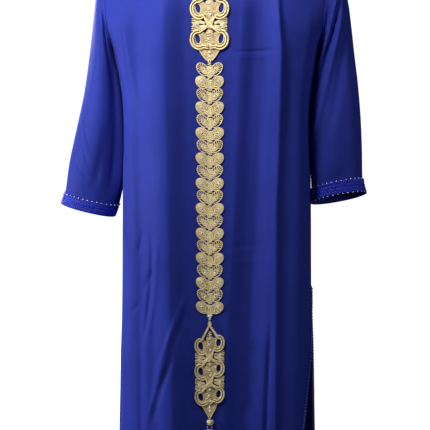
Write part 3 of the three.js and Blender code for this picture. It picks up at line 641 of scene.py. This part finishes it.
def hood_grid():
    """Rings of points from the mouth of the hood down to its tip. Its outer side
    sags in slack ripples, dips along the middle seam and crumples lower down."""
    columns, rows = 120, 90
    angle = (2 * np.pi * np.arange(columns) / columns)[None, :]
    z = np.linspace(HOOD[0, 0], HOOD[-1, 0], rows)[:, None]
    width, swell = along(HOOD, z, 1), along(HOOD, z, 2)
    x = width * np.cos(angle)
    z_all = np.broadcast_to(z, x.shape)
    outside = soft(np.sin(angle) / 0.6)
    sag = outside * (3.5 * np.sin(z / 24 + x / 60) * np.exp(-((z + 150) / 90) ** 2)
                     - 3.0 * np.exp(-((x + 6) / 10) ** 2) * soft((-120 - z) / 80)
                     + 2.0 * np.sin(x / 19 + 1.2) * soft((-60 - z) / 60))
    back_y = panel_points(x, z_all, "back", creased=False)[..., 1]
    y = back_y + HOOD_GAP + swell + swell * np.sin(angle) + sag
    return np.stack([x, y, z_all], axis=-1)


hood_points = hood_grid()
hood = surface("hood_cloth", [hood_points], closed=True)
bpy.ops.object.mode_set(mode="EDIT")
bpy.ops.mesh.select_all(action="DESELECT")
bpy.ops.object.mode_set(mode="OBJECT")
tip_height = float(HOOD[-1, 0] + 0.2) * MM
for vertex in hood.data.vertices:
    vertex.select = vertex.co.z < tip_height
bpy.ops.object.mode_set(mode="EDIT")
bpy.ops.mesh.select_mode(type="VERT")
bpy.ops.mesh.edge_face_add()
bpy.ops.object.mode_set(mode="OBJECT")
dress(thickened(hood, CLOTH), crepe, "crepe", "hood")

# ---------------------------------------------------------------------------
# The gold plaques: metallic cord couched by hand on the front, at the neck and
# over the slit. Doubled thick cords loop and cross over rows of laid cord, with
# drop-shaped holes, fans of rays, small stones and a pointed tip.
CORD_TOP = CORD_GAP + 0.8
CORD_SEAT = 0.6
# cords of this radius and more show their twist: its length, its swell and its waist
TWISTED = 1.2
CORD_TWIST = 2.6
SWELL, WAIST = 1.06, 0.78
THICK_CORD = 2.35
THICK_HEIGHT, THICK_OVER = 1.3, 0.9
THICK_INSETS = (2.6, 8.4)
THICK_MIDDLE = 8.3
UNDERLAY_CORD, UNDERLAY_PITCH = 1.3, 2.6
LOOP = {"lean": 14, "end_turn": 112, "hole_half_width": 5.4, "hole_half_height": 10.5, "hole_shift": 3}
# a slot starts near the middle and slants outwards; heights count from a loop's middle
SLOT = {"from_x": 2, "from_z": 30, "lean": 0.75, "half_width": 2.4, "middle": 23, "half_height": 6.5}
# loops are the heights of their middles; a left loop sits higher by the skew and a
# right one lower
PLAQUES = {
    "neck": {"loops": (-123, -192, -261), "x": 24.5, "half_width": 22, "half_height": 24.5, "skew": 0,
             "cross": 33.5, "reach": 42, "top": -86, "neck": 14, "tip": -311, "half_tip": 8.5},
    "lower": {"loops": (-983, -1046, -1110), "x": 19.5, "half_width": 18, "half_height": 22.5, "skew": 5,
              "cross": 31.5, "reach": 36, "top": -928, "neck": 3.6, "tip": -1164, "half_tip": 3.6},
}
STONE_RADIUS, STONE_PROUD = 2.2, 3.8
BEAD_RADIUS, BEAD_PROUD = 1.4, 1.4


def gold_cord_material(name, bright, brown):
    """Gold metallic cord: fine foil strip wound on a core. Its colour carries painted
    light: pale gold at the middle of each turn and brown towards its edges, more
    so in slow patches, and brown where the surface turns away from the front, as
    painted shade between the turns and on the sides of the cords. The turns of
    about 0.5 mm are drawn at 2 mm so that they show."""
    material, tree, shader = new_material(name)
    place = add(tree, "ShaderNodeTexCoord").outputs["Object"]
    turns = add(tree, "ShaderNodeTexVoronoi", {"Scale": 1 / (2.0 * MM)}, {"Vector": place})
    # painted shade: a slow noise sets how brown the edges of the turns are coloured
    turn_shade_strength = add(tree, "ShaderNodeTexNoise", {"Scale": 1 / (24 * MM), "Detail": 2.0}, {"Vector": place})
    # painted shade: the sides of a cord turned away from the front are coloured browner
    facing = add(tree, "ShaderNodeSeparateXYZ", links={0: add(tree, "ShaderNodeTexCoord").outputs["Normal"]})
    front = add(tree, "ShaderNodeMath", links={0: facing.outputs["Y"]}, operation="ABSOLUTE")
    side_shade = add(tree, "ShaderNodeMath", {0: 1.0}, {1: front.outputs["Value"]}, operation="SUBTRACT")
    painted_shade = add(tree, "ShaderNodeMath", links={0: turns.outputs["Distance"], 1: turn_shade_strength.outputs["Fac"],
                                               2: side_shade.outputs["Value"]}, operation="MULTIPLY_ADD")
    # the ramp runs from pale gold to brown, the brown being painted shade between the turns and on the cord
    # sides
    tone = add(tree, "ShaderNodeValToRGB", links={"Fac": painted_shade.outputs["Value"]})
    tone.color_ramp.elements[0].position, tone.color_ramp.elements[1].position = 0.5, 1.15
    tone.color_ramp.elements[0].color = linear(bright)
    tone.color_ramp.elements[1].color = linear(brown)
    bump = add(tree, "ShaderNodeBump", {"Strength": 0.9, "Distance": 0.8 * MM},
               {"Height": turns.outputs["Distance"]}, invert=True)
    tree.links.new(tone.outputs["Color"], shader.inputs["Base Color"])
    tree.links.new(bump.outputs["Normal"], shader.inputs["Normal"])
    shader.inputs["Metallic"].default_value = 0.2
    shader.inputs["Roughness"].default_value = 0.36
    return material


def crystal_material():
    """Small cut glass stones in foil cups: pale, bright and hard-edged. Their
    faces are painted in white and pale blue-green, a painted reflection, and
    they glow a little, a painted glow that stands in for their sparkle.
    """
    material, tree, shader = new_material("cut_glass_stone")
    place = add(tree, "ShaderNodeTexCoord").outputs["Object"]
    # painted reflection: each face of a stone is coloured from white to pale blue-green
    facet_glint = add(tree, "ShaderNodeTexVoronoi", {"Scale": 1 / (2 * MM)}, {"Vector": place})
    tone = add(tree, "ShaderNodeValToRGB", links={"Fac": facet_glint.outputs["Distance"]})
    tone.color_ramp.elements[0].color = linear("#ffffff")
    tone.color_ramp.elements[1].color = linear("#b9d2d2")
    tree.links.new(tone.outputs["Color"], shader.inputs["Base Color"])
    # painted glow: the stones give off a little light of their own
    tree.links.new(tone.outputs["Color"], shader.inputs["Emission Color"])
    shader.inputs["Emission Strength"].default_value = 0.3
    shader.inputs["Roughness"].default_value = 0.1
    return material


def on_front(x, z, proud):
    """A place in mm on the front, moved out by proud."""
    x, z = np.atleast_1d(np.asarray(x, float)), np.atleast_1d(np.asarray(z, float))
    return panel_points(x, z, "front", proud, creased=False)


def ellipse(x, z, half_width, half_height, lean, count, first=0, last=360):
    """Points round a leaning ellipse, or part of one."""
    angle = np.radians(np.linspace(first, last, count, endpoint=abs(last - first) < 360))
    a, b = half_width * np.cos(angle), half_height * np.sin(angle)
    turn = math.radians(lean)
    return x + a * math.cos(turn) - b * math.sin(turn), z + a * math.sin(turn) + b * math.cos(turn)


def even_steps(x, z, closed):
    """The same run with a point at each swell and each waist of the twisted cord."""
    if closed:
        x, z = np.append(x, x[0]), np.append(z, z[0])
    way = np.concatenate([[0], np.cumsum(np.hypot(np.diff(x), np.diff(z)))])
    count = 2 * max(2, round(way[-1] / CORD_TWIST))
    places = np.linspace(0, way[-1], count, endpoint=not closed)
    return np.interp(places, way, x), np.interp(places, way, z)


def cord(line, radius, height, closed=False):
    """One run of cord along a line of (x, z): its radius and how high it lies."""
    return (*line, radius, height, closed)


def cord_work(name, runs):
    """The mesh of all the runs of a piece, couched on the front."""
    curve = bpy.data.curves.new(name, "CURVE")
    curve.dimensions = "3D"
    curve.bevel_depth, curve.bevel_resolution = MM, 1
    for x, z, radius, height, closed in runs:
        if radius >= TWISTED:
            x, z = even_steps(x, z, closed)
        points = on_front(x, z, CORD_TOP + radius * CORD_SEAT + height) * MM
        swell = np.where(np.arange(len(points)) % 2, WAIST, SWELL) if radius >= TWISTED else 1.0
        spline = curve.splines.new("POLY")
        spline.points.add(len(points) - 1)
        spline.points.foreach_set("co", np.c_[points, np.ones(len(points))].ravel())
        spline.points.foreach_set("radius", np.full(len(points), radius) * swell)
        spline.use_cyclic_u = closed
    obj = bpy.data.objects.new(name, curve)
    bpy.context.scene.collection.objects.link(obj)
    only(obj)
    bpy.ops.object.convert(target="MESH")
    bpy.ops.object.shade_smooth()
    return obj


def smooth_run(knots, steps=6):
    """A soft curve through knots of (x, z)."""
    k = np.array([knots[0], *knots, knots[-1]], float)
    t = np.linspace(0, 1, steps, endpoint=False)[:, None]
    parts = [0.5 * (2 * b + (c - a) * t + (2 * a - 5 * b + 4 * c - d) * t ** 2
                    + (3 * b - a - 3 * c + d) * t ** 3)
             for a, b, c, d in zip(k, k[1:], k[2:], k[3:])]
    line = np.concatenate([*parts, k[-1:]])
    return line[:, 0], line[:, 1]


def filling(high, low, half_high, half_low, pitch=2.3):
    """A zigzag of thin cord that fills a tapering space."""
    rows = max(3, round((high - low) / pitch))
    t = np.linspace(0, 1, rows)
    side = np.where(np.arange(rows) % 2, 1, -1)
    ends = np.stack([side * mix(half_high, half_low, t), mix(high, low, t)], axis=-1)
    line = np.concatenate([mix(a, b, np.linspace(0, 1, 4)[:, None]) for a, b in zip(ends, ends[1:])])
    return cord(line.T, 1.35, -0.2)


def doubled(sign, z, plaque, top_free, bottom_free):
    """The two thick cords of one loop, which cross those of the other side above
    and below unless that end is free, and the thin cord round its drop hole."""
    lean, cross = -sign * LOOP["lean"], plaque["cross"]
    middle = z + sign * plaque["skew"]
    height = THICK_HEIGHT + THICK_OVER * (sign > 0)
    runs = []
    for inset in THICK_INSETS:
        line = ellipse(sign * plaque["x"], middle, sign * (plaque["half_width"] - inset),
                       plaque["half_height"] - inset, lean, 14, LOOP["end_turn"], -LOOP["end_turn"])
        reach = THICK_MIDDLE - inset
        over = sign * (-9 + reach)
        above = [(over, z + cross + 8 + reach * 0.3), (sign * reach, z + cross - 1)]
        below = [(sign * reach, z - cross + 1), (over, z - cross - 8 - reach * 0.3)]
        if top_free:
            above = [(sign * (plaque["neck"] - 3 + reach * 0.2), plaque["top"] - 8)]
        if bottom_free:
            below = [(sign * 2.5, z - plaque["half_height"] + inset + 1)]
        runs.append(cord(smooth_run([*above, *zip(*line), *below], 3), THICK_CORD, height))
    hole = ellipse(sign * (plaque["x"] + LOOP["hole_shift"] - 0.6), middle + 2,
                   LOOP["hole_half_width"] + 1.2, LOOP["hole_half_height"] + 1.2, lean, 20)
    runs.append(cord(hole, 1.2, 0.4, closed=True))
    return runs


def middle_work(z):
    """Short bowed cords and three small rings between a left and a right loop."""
    runs = []
    for step, half in ((8, 5.5), (3.5, 7.5), (-1, 6.5), (-5.5, 7.5), (-10, 6)):
        bow = smooth_run([(-half, z + step - 1.5), (0, z + step + 1), (half, z + step - 1.5)])
        runs.append(cord(bow, 1.3, 0.9))
    for place, half in ((0, 4.2), (-6, 2.6), (6, 2.6)):
        ring = ellipse(place, z + 16 - abs(place) * 0.3, half, half, 0, 12)
        runs.append(cord(ring, 1.2, 0.9, closed=True))
    return runs


def rays(sign, z, reach):
    """Straight cords that fan out between two loops, and two rings on them."""
    runs = []
    for ray in (-14, -9.5, -5, 5, 9.5, 14):
        line = smooth_run([(sign * 11, z + ray * 0.3), (sign * 26, z + ray * 0.72),
                           (sign * (reach - 0.6), z + ray)])
        runs.append(cord(line, 1.5, 0.3))
    for half in (2.8, 5.2):
        ring = ellipse(sign * (reach - 11), z, half * 1.2, half, 0, 14)
        runs.append(cord(ring, 1.1, 0.7, closed=True))
    return runs


def tip_work(plaque, base):
    """Two cords that narrow to the tip, and the three rings at its end."""
    runs = []
    for sign in (-1, 1):
        line = smooth_run([(sign * (plaque["x"] - 1), base + sign * plaque["skew"]),
                           (sign * plaque["x"] * 0.62, base - 14),
                           (sign * plaque["half_tip"] * 0.8, plaque["tip"] + 3)])
        runs.append(cord(line, 1.8, 0.6))
        runs.append(cord(ellipse(sign * 3.4, plaque["tip"] + 6, 2.2, 3.2, 0, 10), 1.0, 1.2, closed=True))
    runs.append(cord(ellipse(0, plaque["tip"] + 1, 2.6, 3.4, 0, 12), 1.4, 1.0, closed=True))
    return runs


def top_work(name, plaque):
    """The filling above the first loops; the lower plaque hangs from a long ring."""
    first = plaque["loops"][0]
    if name == "neck":
        return [filling(plaque["top"], first + 18, plaque["neck"] - 3, plaque["neck"] - 4)]
    x, z = ellipse(0, plaque["top"] - 5, 3.2, 7, 0, 14)
    return [cord((x, z), 1.6, 1.4, closed=True), cord((x * 0.3, z), 1.6, 1.4, closed=True),
            filling(plaque["top"] - 22, first + 22, 3, 6)]


def covered(x, z, plaque, base):
    """Where the plaque is covered: not its drop holes nor the slanting slots."""
    side, across = np.sign(x), np.abs(x)
    tip_half = np.interp(z, (plaque["tip"] + 3, base), (plaque["half_tip"] - 0.6, plaque["x"] - 2))
    inside = (across < 9) & (z > base) | (across < tip_half) & (z < base + 3)
    for middle in plaque["loops"]:
        off = (across - plaque["x"]) / (plaque["half_width"] - 3)
        up = (z - (middle + side * plaque["skew"])) / (plaque["half_height"] - 3)
        inside |= off ** 2 + up ** 2 < 1
    for middle in plaque["loops"]:
        off = (across - plaque["x"] - LOOP["hole_shift"]) / (LOOP["hole_half_width"] + 1)
        up = (z - middle - side * plaque["skew"] - 1) / (LOOP["hole_half_height"] + 1)
        beside = np.abs(across - SLOT["from_x"] - (middle + SLOT["from_z"] - z) * SLOT["lean"])
        slot = (beside <= SLOT["half_width"]) & (np.abs(z - middle - SLOT["middle"]) <= SLOT["half_height"])
        inside &= (off ** 2 + up ** 2 > 1) & ~slot
    return inside


def underlay(plaque, base):
    """Rows of cord laid side by side wherever the plaque is covered."""
    runs = []
    top = plaque["loops"][0] + plaque["half_height"] - 4
    half = plaque["x"] + plaque["half_width"] - 2
    for z in np.arange(top, plaque["tip"] + 3, -UNDERLAY_PITCH):
        x = np.arange(-half, half + 0.1, 1.0)
        kept = np.concatenate([[0], covered(x, np.full_like(x, z), plaque, base).astype(int), [0]])
        starts, ends = np.flatnonzero(np.diff(kept) == 1), np.flatnonzero(np.diff(kept) == -1)
        for a, b in zip(starts, ends):
            if b - a > 3:
                runs.append(cord((x[a:b], z + 0.8 * np.sin(x[a:b] / 5)), UNDERLAY_CORD, -0.5))
    return runs


def set_on_front(name, places, proud, small, material):
    """Copies of a stone or bead, sewn on at places of (x, z)."""
    scatter(name, [on_front(x, z, CORD_TOP + proud)[0] for x, z in places], small, material, "gold_cord")


gold_cord = gold_cord_material("gold_metallic_cord", "#fff2c2", "#744018")
# The underlay is the same cord in slightly darker colours: painted shade for the rows that lie under the
# thick cords.
gold_ground = gold_cord_material("gold_metallic_cord_underlay", "#fdeab6", "#6c3a16")
crystal = crystal_material()
bpy.ops.object.select_all(action="DESELECT")
bpy.ops.mesh.primitive_ico_sphere_add(subdivisions=2, radius=STONE_RADIUS * MM)
bpy.context.object.scale = (1, 0.7, 1)
stone = take(bpy.context.object)
grain_bead = bead(BEAD_RADIUS)

for name, plaque in PLAQUES.items():
    runs, stones, beads = [], [], []
    loops, reach = plaque["loops"], plaque["reach"]
    base = loops[-1] - plaque["half_height"] + 2
    for z in loops:
        for sign in (-1, 1):
            runs += doubled(sign, z, plaque, z == loops[0], z == loops[-1])
        runs += middle_work(z)
        stones += [(0, z + 16), (-1.5, z + 1), (1.5, z - 12)]
    for high, low in zip(loops, loops[1:]):
        for sign in (-1, 1):
            z = (high + low) / 2 + sign * plaque["skew"]
            runs += rays(sign, z, reach)
            stones.append((sign * (reach - 11), z))
            beads += [(sign * (reach - 2.5), z + 2.2), (sign * (reach - 2.5), z - 2.2)]
    runs += tip_work(plaque, base) + top_work(name, plaque)
    stones += [(0, base - 7), (0.5, base - 15)]
    dress(cord_work(f"{name}_plaque_cords", runs), gold_cord, "gold_cord", f"embroidery_{name}")
    dress(cord_work(f"{name}_plaque_underlay", underlay(plaque, base)), gold_ground, "gold_cord")
    set_on_front(f"{name}_plaque_stones", stones, STONE_PROUD, stone, crystal)
    set_on_front(f"{name}_plaque_beads", beads, BEAD_PROUD, grain_bead, gold_cord)

# ---------------------------------------------------------------------------
# The leaf strip: pairs of leaves of the same gold cord from plaque to plaque,
# couched by hand. Solid pairs, coiled from the edge inwards, take turns with
# openwork ones, and each leaf carries a small stone.
LEAVES = {"top": -312.5, "bottom": -906, "rows": 20, "end": -919}
SOLID_LEAF = {"x": 17, "long": 18, "short": 13.5, "lift": 38}
SOLID_ROUNDS = (1.4, 4.7, 8.0, 11.0)
OPEN_LEAF = {"x": 15.5, "long": 18.5, "short": 12.5, "lift": 48}
OPEN_ROUND = 1.2
LEAF_STONE_PROUD = 3.4


def leaf_round(leaf, sign, z, inset, radius):
    """One round of cord of a leaf, set in from its edge."""
    line = ellipse(sign * (leaf["x"] + inset * 0.22), z + inset * 0.2, leaf["long"] - inset,
                   leaf["short"] - inset, sign * leaf["lift"], 22)
    return cord(line, radius, 0.3 + 0.05 * inset, closed=True)


def open_leaf_work(sign, z):
    """The openwork of a leaf: thin bars inside its edge, and two rings."""
    leaf, runs = OPEN_LEAF, []
    lift = sign * leaf["lift"]
    for turn in range(-75, 126, 25):
        start = turn if sign > 0 else 180 - turn
        ends = [ellipse(sign * (leaf["x"] - 3 * inner), z - 3 * inner, leaf["long"] - 2 - 7 * inner,
                        leaf["short"] - 2 - 6 * inner, lift, 1, start, start) for inner in (0, 1)]
        runs.append(cord(np.concatenate(ends, axis=1), 1.0, 0.3))
    for inset in (0, 2.6):
        ring = ellipse(sign * (leaf["x"] - 3), z - 3, 8.4 - inset, 5.6 - inset, lift, 16)
        runs.append(cord(ring, 1.3, 0.6, closed=True))
    return runs


runs, stones = [], []
leaf_pitch = (LEAVES["top"] - LEAVES["bottom"]) / LEAVES["rows"]
for row in range(LEAVES["rows"]):
    solid = row % 2 == 1
    z = LEAVES["top"] - leaf_pitch * (row + 0.55)
    for sign in (-1, 1):
        if solid:
            runs += [leaf_round(SOLID_LEAF, sign, z, inset, 1.55) for inset in SOLID_ROUNDS]
            stones.append((sign * (SOLID_LEAF["x"] + 3), z + 3.2))
        else:
            runs += [leaf_round(OPEN_LEAF, sign, z, OPEN_ROUND, 1.3)] + open_leaf_work(sign, z)
            stones.append((sign * (OPEN_LEAF["x"] - 3), z - 3))
    runs.append(filling(z + 7, z - leaf_pitch + 9, 7 if solid else 8, 7 if solid else 5, pitch=2.2))
    for step in (-6, -11):
        for sign in (-1, 1):
            vee = smooth_run([(sign * 13, z + step + 5), (sign * 6, z + step - 3), (0, z + step - 8)])
            runs.append(cord(vee, 1.2, 0.9))
stones += [(-2.4, LEAVES["end"] + 7), (2.8, LEAVES["end"] + 8), (0, LEAVES["end"] + 1)]
runs.append(filling(LEAVES["bottom"] + 4, LEAVES["end"] - 4, 8, 2.6))
runs.append(filling(LEAVES["top"] + 1, LEAVES["top"] - 16, 4, 6))
dress(cord_work("leaf_strip_cords", runs), gold_cord, "gold_cord", "embroidery_strip")
set_on_front("leaf_strip_stones", stones, LEAF_STONE_PROUD, stone, crystal)

# ---------------------------------------------------------------------------
# The slit braids: a narrow plaited cord on each edge of the side slits and of
# the front slit. Tiny hand-tied knots run along it, one row at the front slit
# and two at the side slits, on the outer face and on the edge itself.
KNOT_BEAD_RADIUS = 2.0
SIDE_KNOT_PITCH, FRONT_KNOT_PITCH = 8.0, 7.0
# share of the panel, how far out of the cloth and how far forward
SIDE_KNOT_ROWS = {"outer": (0.985, 2.6, 0), "edge": (1.0, -2.6, 1.6)}
FRONT_KNOT_OUT = 3.6

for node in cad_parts:
    if "slit_braid" in node:
        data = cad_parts[node].data
        data.materials.clear()
        data.materials.append(braid_blue)


def knot_row_material():
    """Tiny knots of pale blue-grey silk."""
    material, tree, shader = new_material("silk_knot_blue_grey")
    place = add(tree, "ShaderNodeTexCoord").outputs["Object"]
    twist = add(tree, "ShaderNodeTexNoise", {"Scale": 1 / (1.2 * MM)}, {"Vector": place})
    tone = add(tree, "ShaderNodeValToRGB", links={"Fac": twist.outputs["Fac"]})
    tone.color_ramp.elements[0].color = linear("#3a4594")
    tone.color_ramp.elements[1].color = linear("#8d97dc")
    tree.links.new(tone.outputs["Color"], shader.inputs["Base Color"])
    shader.inputs["Roughness"].default_value = 0.45
    return material


knot_silk = knot_row_material()
tiny_knot = bead(KNOT_BEAD_RADIUS)
heights = np.arange(SIDE_SLIT_TOP - 6, -LENGTH + 4, -SIDE_KNOT_PITCH)
for panel in ("front", "back"):
    for side, name in ((-1, "right"), (1, "left")):
        for row, (share, proud, forward) in SIDE_KNOT_ROWS.items():
            across = column_places(np.full_like(heights, share), heights, panel, side)
            places = panel_points(side * across, heights, panel, proud) - np.array([0, forward, 0])
            scatter(f"slit_knots_{panel}_{name}_{row}", places, tiny_knot, knot_silk, "silk_braid")
heights = np.arange(FRONT_SLIT_TOP - 8, -LENGTH + 4, -FRONT_KNOT_PITCH)
for side, name in ((-1, "right"), (1, "left")):
    down = (FRONT_SLIT_TOP - heights) / (FRONT_SLIT_TOP + LENGTH)
    x = side * (mix(*FRONT_SLIT_HALF, down) + FRONT_KNOT_OUT)
    scatter(f"front_slit_knots_{name}", on_front(x, heights, CORD_TOP + 0.8), tiny_knot, ivory, "silk_braid")

# ---------------------------------------------------------------------------
# The knot buttons: gold cord tied in a ball, one under the other at the top
# of the front slit, each through a loop of cord on the other edge.
KNOT_RADIUS = 8
KNOT_RING, KNOT_CORD = 6.4, 1.5
KNOT_TURNS = 9
# how much wider than a ball, and how much wider still at the top
KNOT_WIDTH, KNOT_TAPER = 1.08, 0.3
KNOT_SHIFT = (2.5, -1, 0)
turns = []
for number in range(KNOT_TURNS):
    bpy.ops.object.select_all(action="DESELECT")
    bpy.ops.mesh.primitive_torus_add(major_segments=30, minor_segments=8, major_radius=KNOT_RING * MM,
                                     minor_radius=KNOT_CORD * MM)
    lap, third = divmod(number, 3)
    bpy.context.object.rotation_euler = (math.radians(35 * third if third else 90),
                                         math.radians(40 * number), math.radians(120 * third + 18 * lap))
    turns.append(take(bpy.context.object))
only(*turns)
bpy.ops.object.join()
knot_form = bpy.context.object
for number in (1, 2):
    low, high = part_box(f"knot_button_{number}")
    centre = (np.array(low) + np.array(high)) / 2
    knot = knot_form.copy()
    knot.data = knot_form.data.copy()
    knot.name = f"knot_button_{number}_cord"
    bpy.context.scene.collection.objects.link(knot)
    for vertex in knot.data.vertices:
        vertex.co.x *= KNOT_WIDTH + KNOT_TAPER * vertex.co.z / (KNOT_RADIUS * MM)
    knot.location = centre + np.array(KNOT_SHIFT) * MM
    take(knot)
    bpy.ops.object.shade_smooth()
    dress(knot, gold_cord, "gold_knot", f"knot_button_{number}")
for form in (knot_form, tiny_knot, grain_bead, stone, stitch_bead):
    bpy.data.objects.remove(form, do_unlink=True)

# ---------------------------------------------------------------------------
# The studio: a white floor and backdrop and four soft lights. A key light low
# at the left side, a small warm one in front and above, a weak fill at the
# right and one behind on the left. The camera is a little right of the front.
FLOOR_SIZE, FLOOR_HEIGHT = 14, -1.62
BACKDROP_RADIUS, BACKDROP_HEIGHT, BACKDROP_MIDDLE = 6.5, 9, 2.8
AMBIENT = 0.05


def glowing_white(name):
    """Matt white paper, lit so that it stays pure white behind the object."""
    material, _, shader = new_material(name)
    shader.inputs["Base Color"].default_value = linear("#ffffff")
    shader.inputs["Roughness"].default_value = 0.9
    shader.inputs["Emission Color"].default_value = linear("#ffffff")
    shader.inputs["Emission Strength"].default_value = 1.0
    return material


bpy.ops.object.select_all(action="DESELECT")
bpy.ops.mesh.primitive_plane_add(size=FLOOR_SIZE, location=(0, 0, FLOOR_HEIGHT))
floor = bpy.context.object
floor.name = "studio_floor"
floor.data.materials.append(glowing_white("pale_floor"))
bpy.ops.object.select_all(action="DESELECT")
bpy.ops.mesh.primitive_cylinder_add(vertices=48, radius=BACKDROP_RADIUS, depth=BACKDROP_HEIGHT,
                                    end_fill_type="NOTHING", location=(0, 0, BACKDROP_MIDDLE))
backdrop = bpy.context.object
backdrop.name = "studio_backdrop"
backdrop.data.materials.append(glowing_white("white_backdrop"))
for obj in (floor, backdrop):
    obj.visible_diffuse = obj.visible_glossy = obj.visible_shadow = False

world = bpy.data.worlds.new("studio")
bpy.context.scene.world = world
world.use_nodes = True
world.node_tree.nodes["Background"].inputs["Color"].default_value = linear("#ffffff")
world.node_tree.nodes["Background"].inputs["Strength"].default_value = AMBIENT


def aim(obj, target):
    """Turns a light or the camera to look at a place."""
    obj.rotation_euler = (Vector(target) - obj.location).to_track_quat("-Z", "Y").to_euler()


def soft_light(name, place, target, size, power, colour="#ffffff"):
    """A round area light, sized in metres."""
    light = bpy.data.lights.new(name, "AREA")
    light.shape, light.size, light.energy = "DISK", size, power
    light.color = linear(colour)[:3]
    obj = bpy.data.objects.new(name, light)
    bpy.context.scene.collection.objects.link(obj)
    obj.location = place
    aim(obj, target)


soft_light("key_light", (-2.2, -0.6, -0.6), (0, 0, -0.6), size=0.7, power=40)
soft_light("front_light", (-0.42, -0.85, 0.35), (0, 0, -0.25), size=0.4, power=14.5, colour="#fff4e4")
soft_light("fill_light", (2.3, -1.1, 0.0), (0, 0, -0.6), size=1.4, power=10.5)
soft_light("back_light", (-2.1, 1.9, 0.5), (0, 0, -0.6), size=0.8, power=66)

VIEW_AZIMUTH, VIEW_ELEVATION, VIEW_DISTANCE = 7.45, 8.0, 2.4
SEEN_HEIGHT = 1.075
VIEW_CENTRE = (-0.005, 0.0, -0.687)
camera_data = bpy.data.cameras.new("camera")
camera_data.lens = camera_data.sensor_width * VIEW_DISTANCE / SEEN_HEIGHT
camera = bpy.data.objects.new("camera", camera_data)
bpy.context.scene.collection.objects.link(camera)
azimuth, elevation = math.radians(VIEW_AZIMUTH), math.radians(VIEW_ELEVATION)
camera.location = (
    VIEW_CENTRE[0] + VIEW_DISTANCE * math.sin(azimuth) * math.cos(elevation),
    VIEW_CENTRE[1] - VIEW_DISTANCE * math.cos(azimuth) * math.cos(elevation),
    VIEW_CENTRE[2] + VIEW_DISTANCE * math.sin(elevation))
aim(camera, VIEW_CENTRE)
bpy.context.scene.camera = camera
bpy.context.scene.view_settings.view_transform = "Standard"
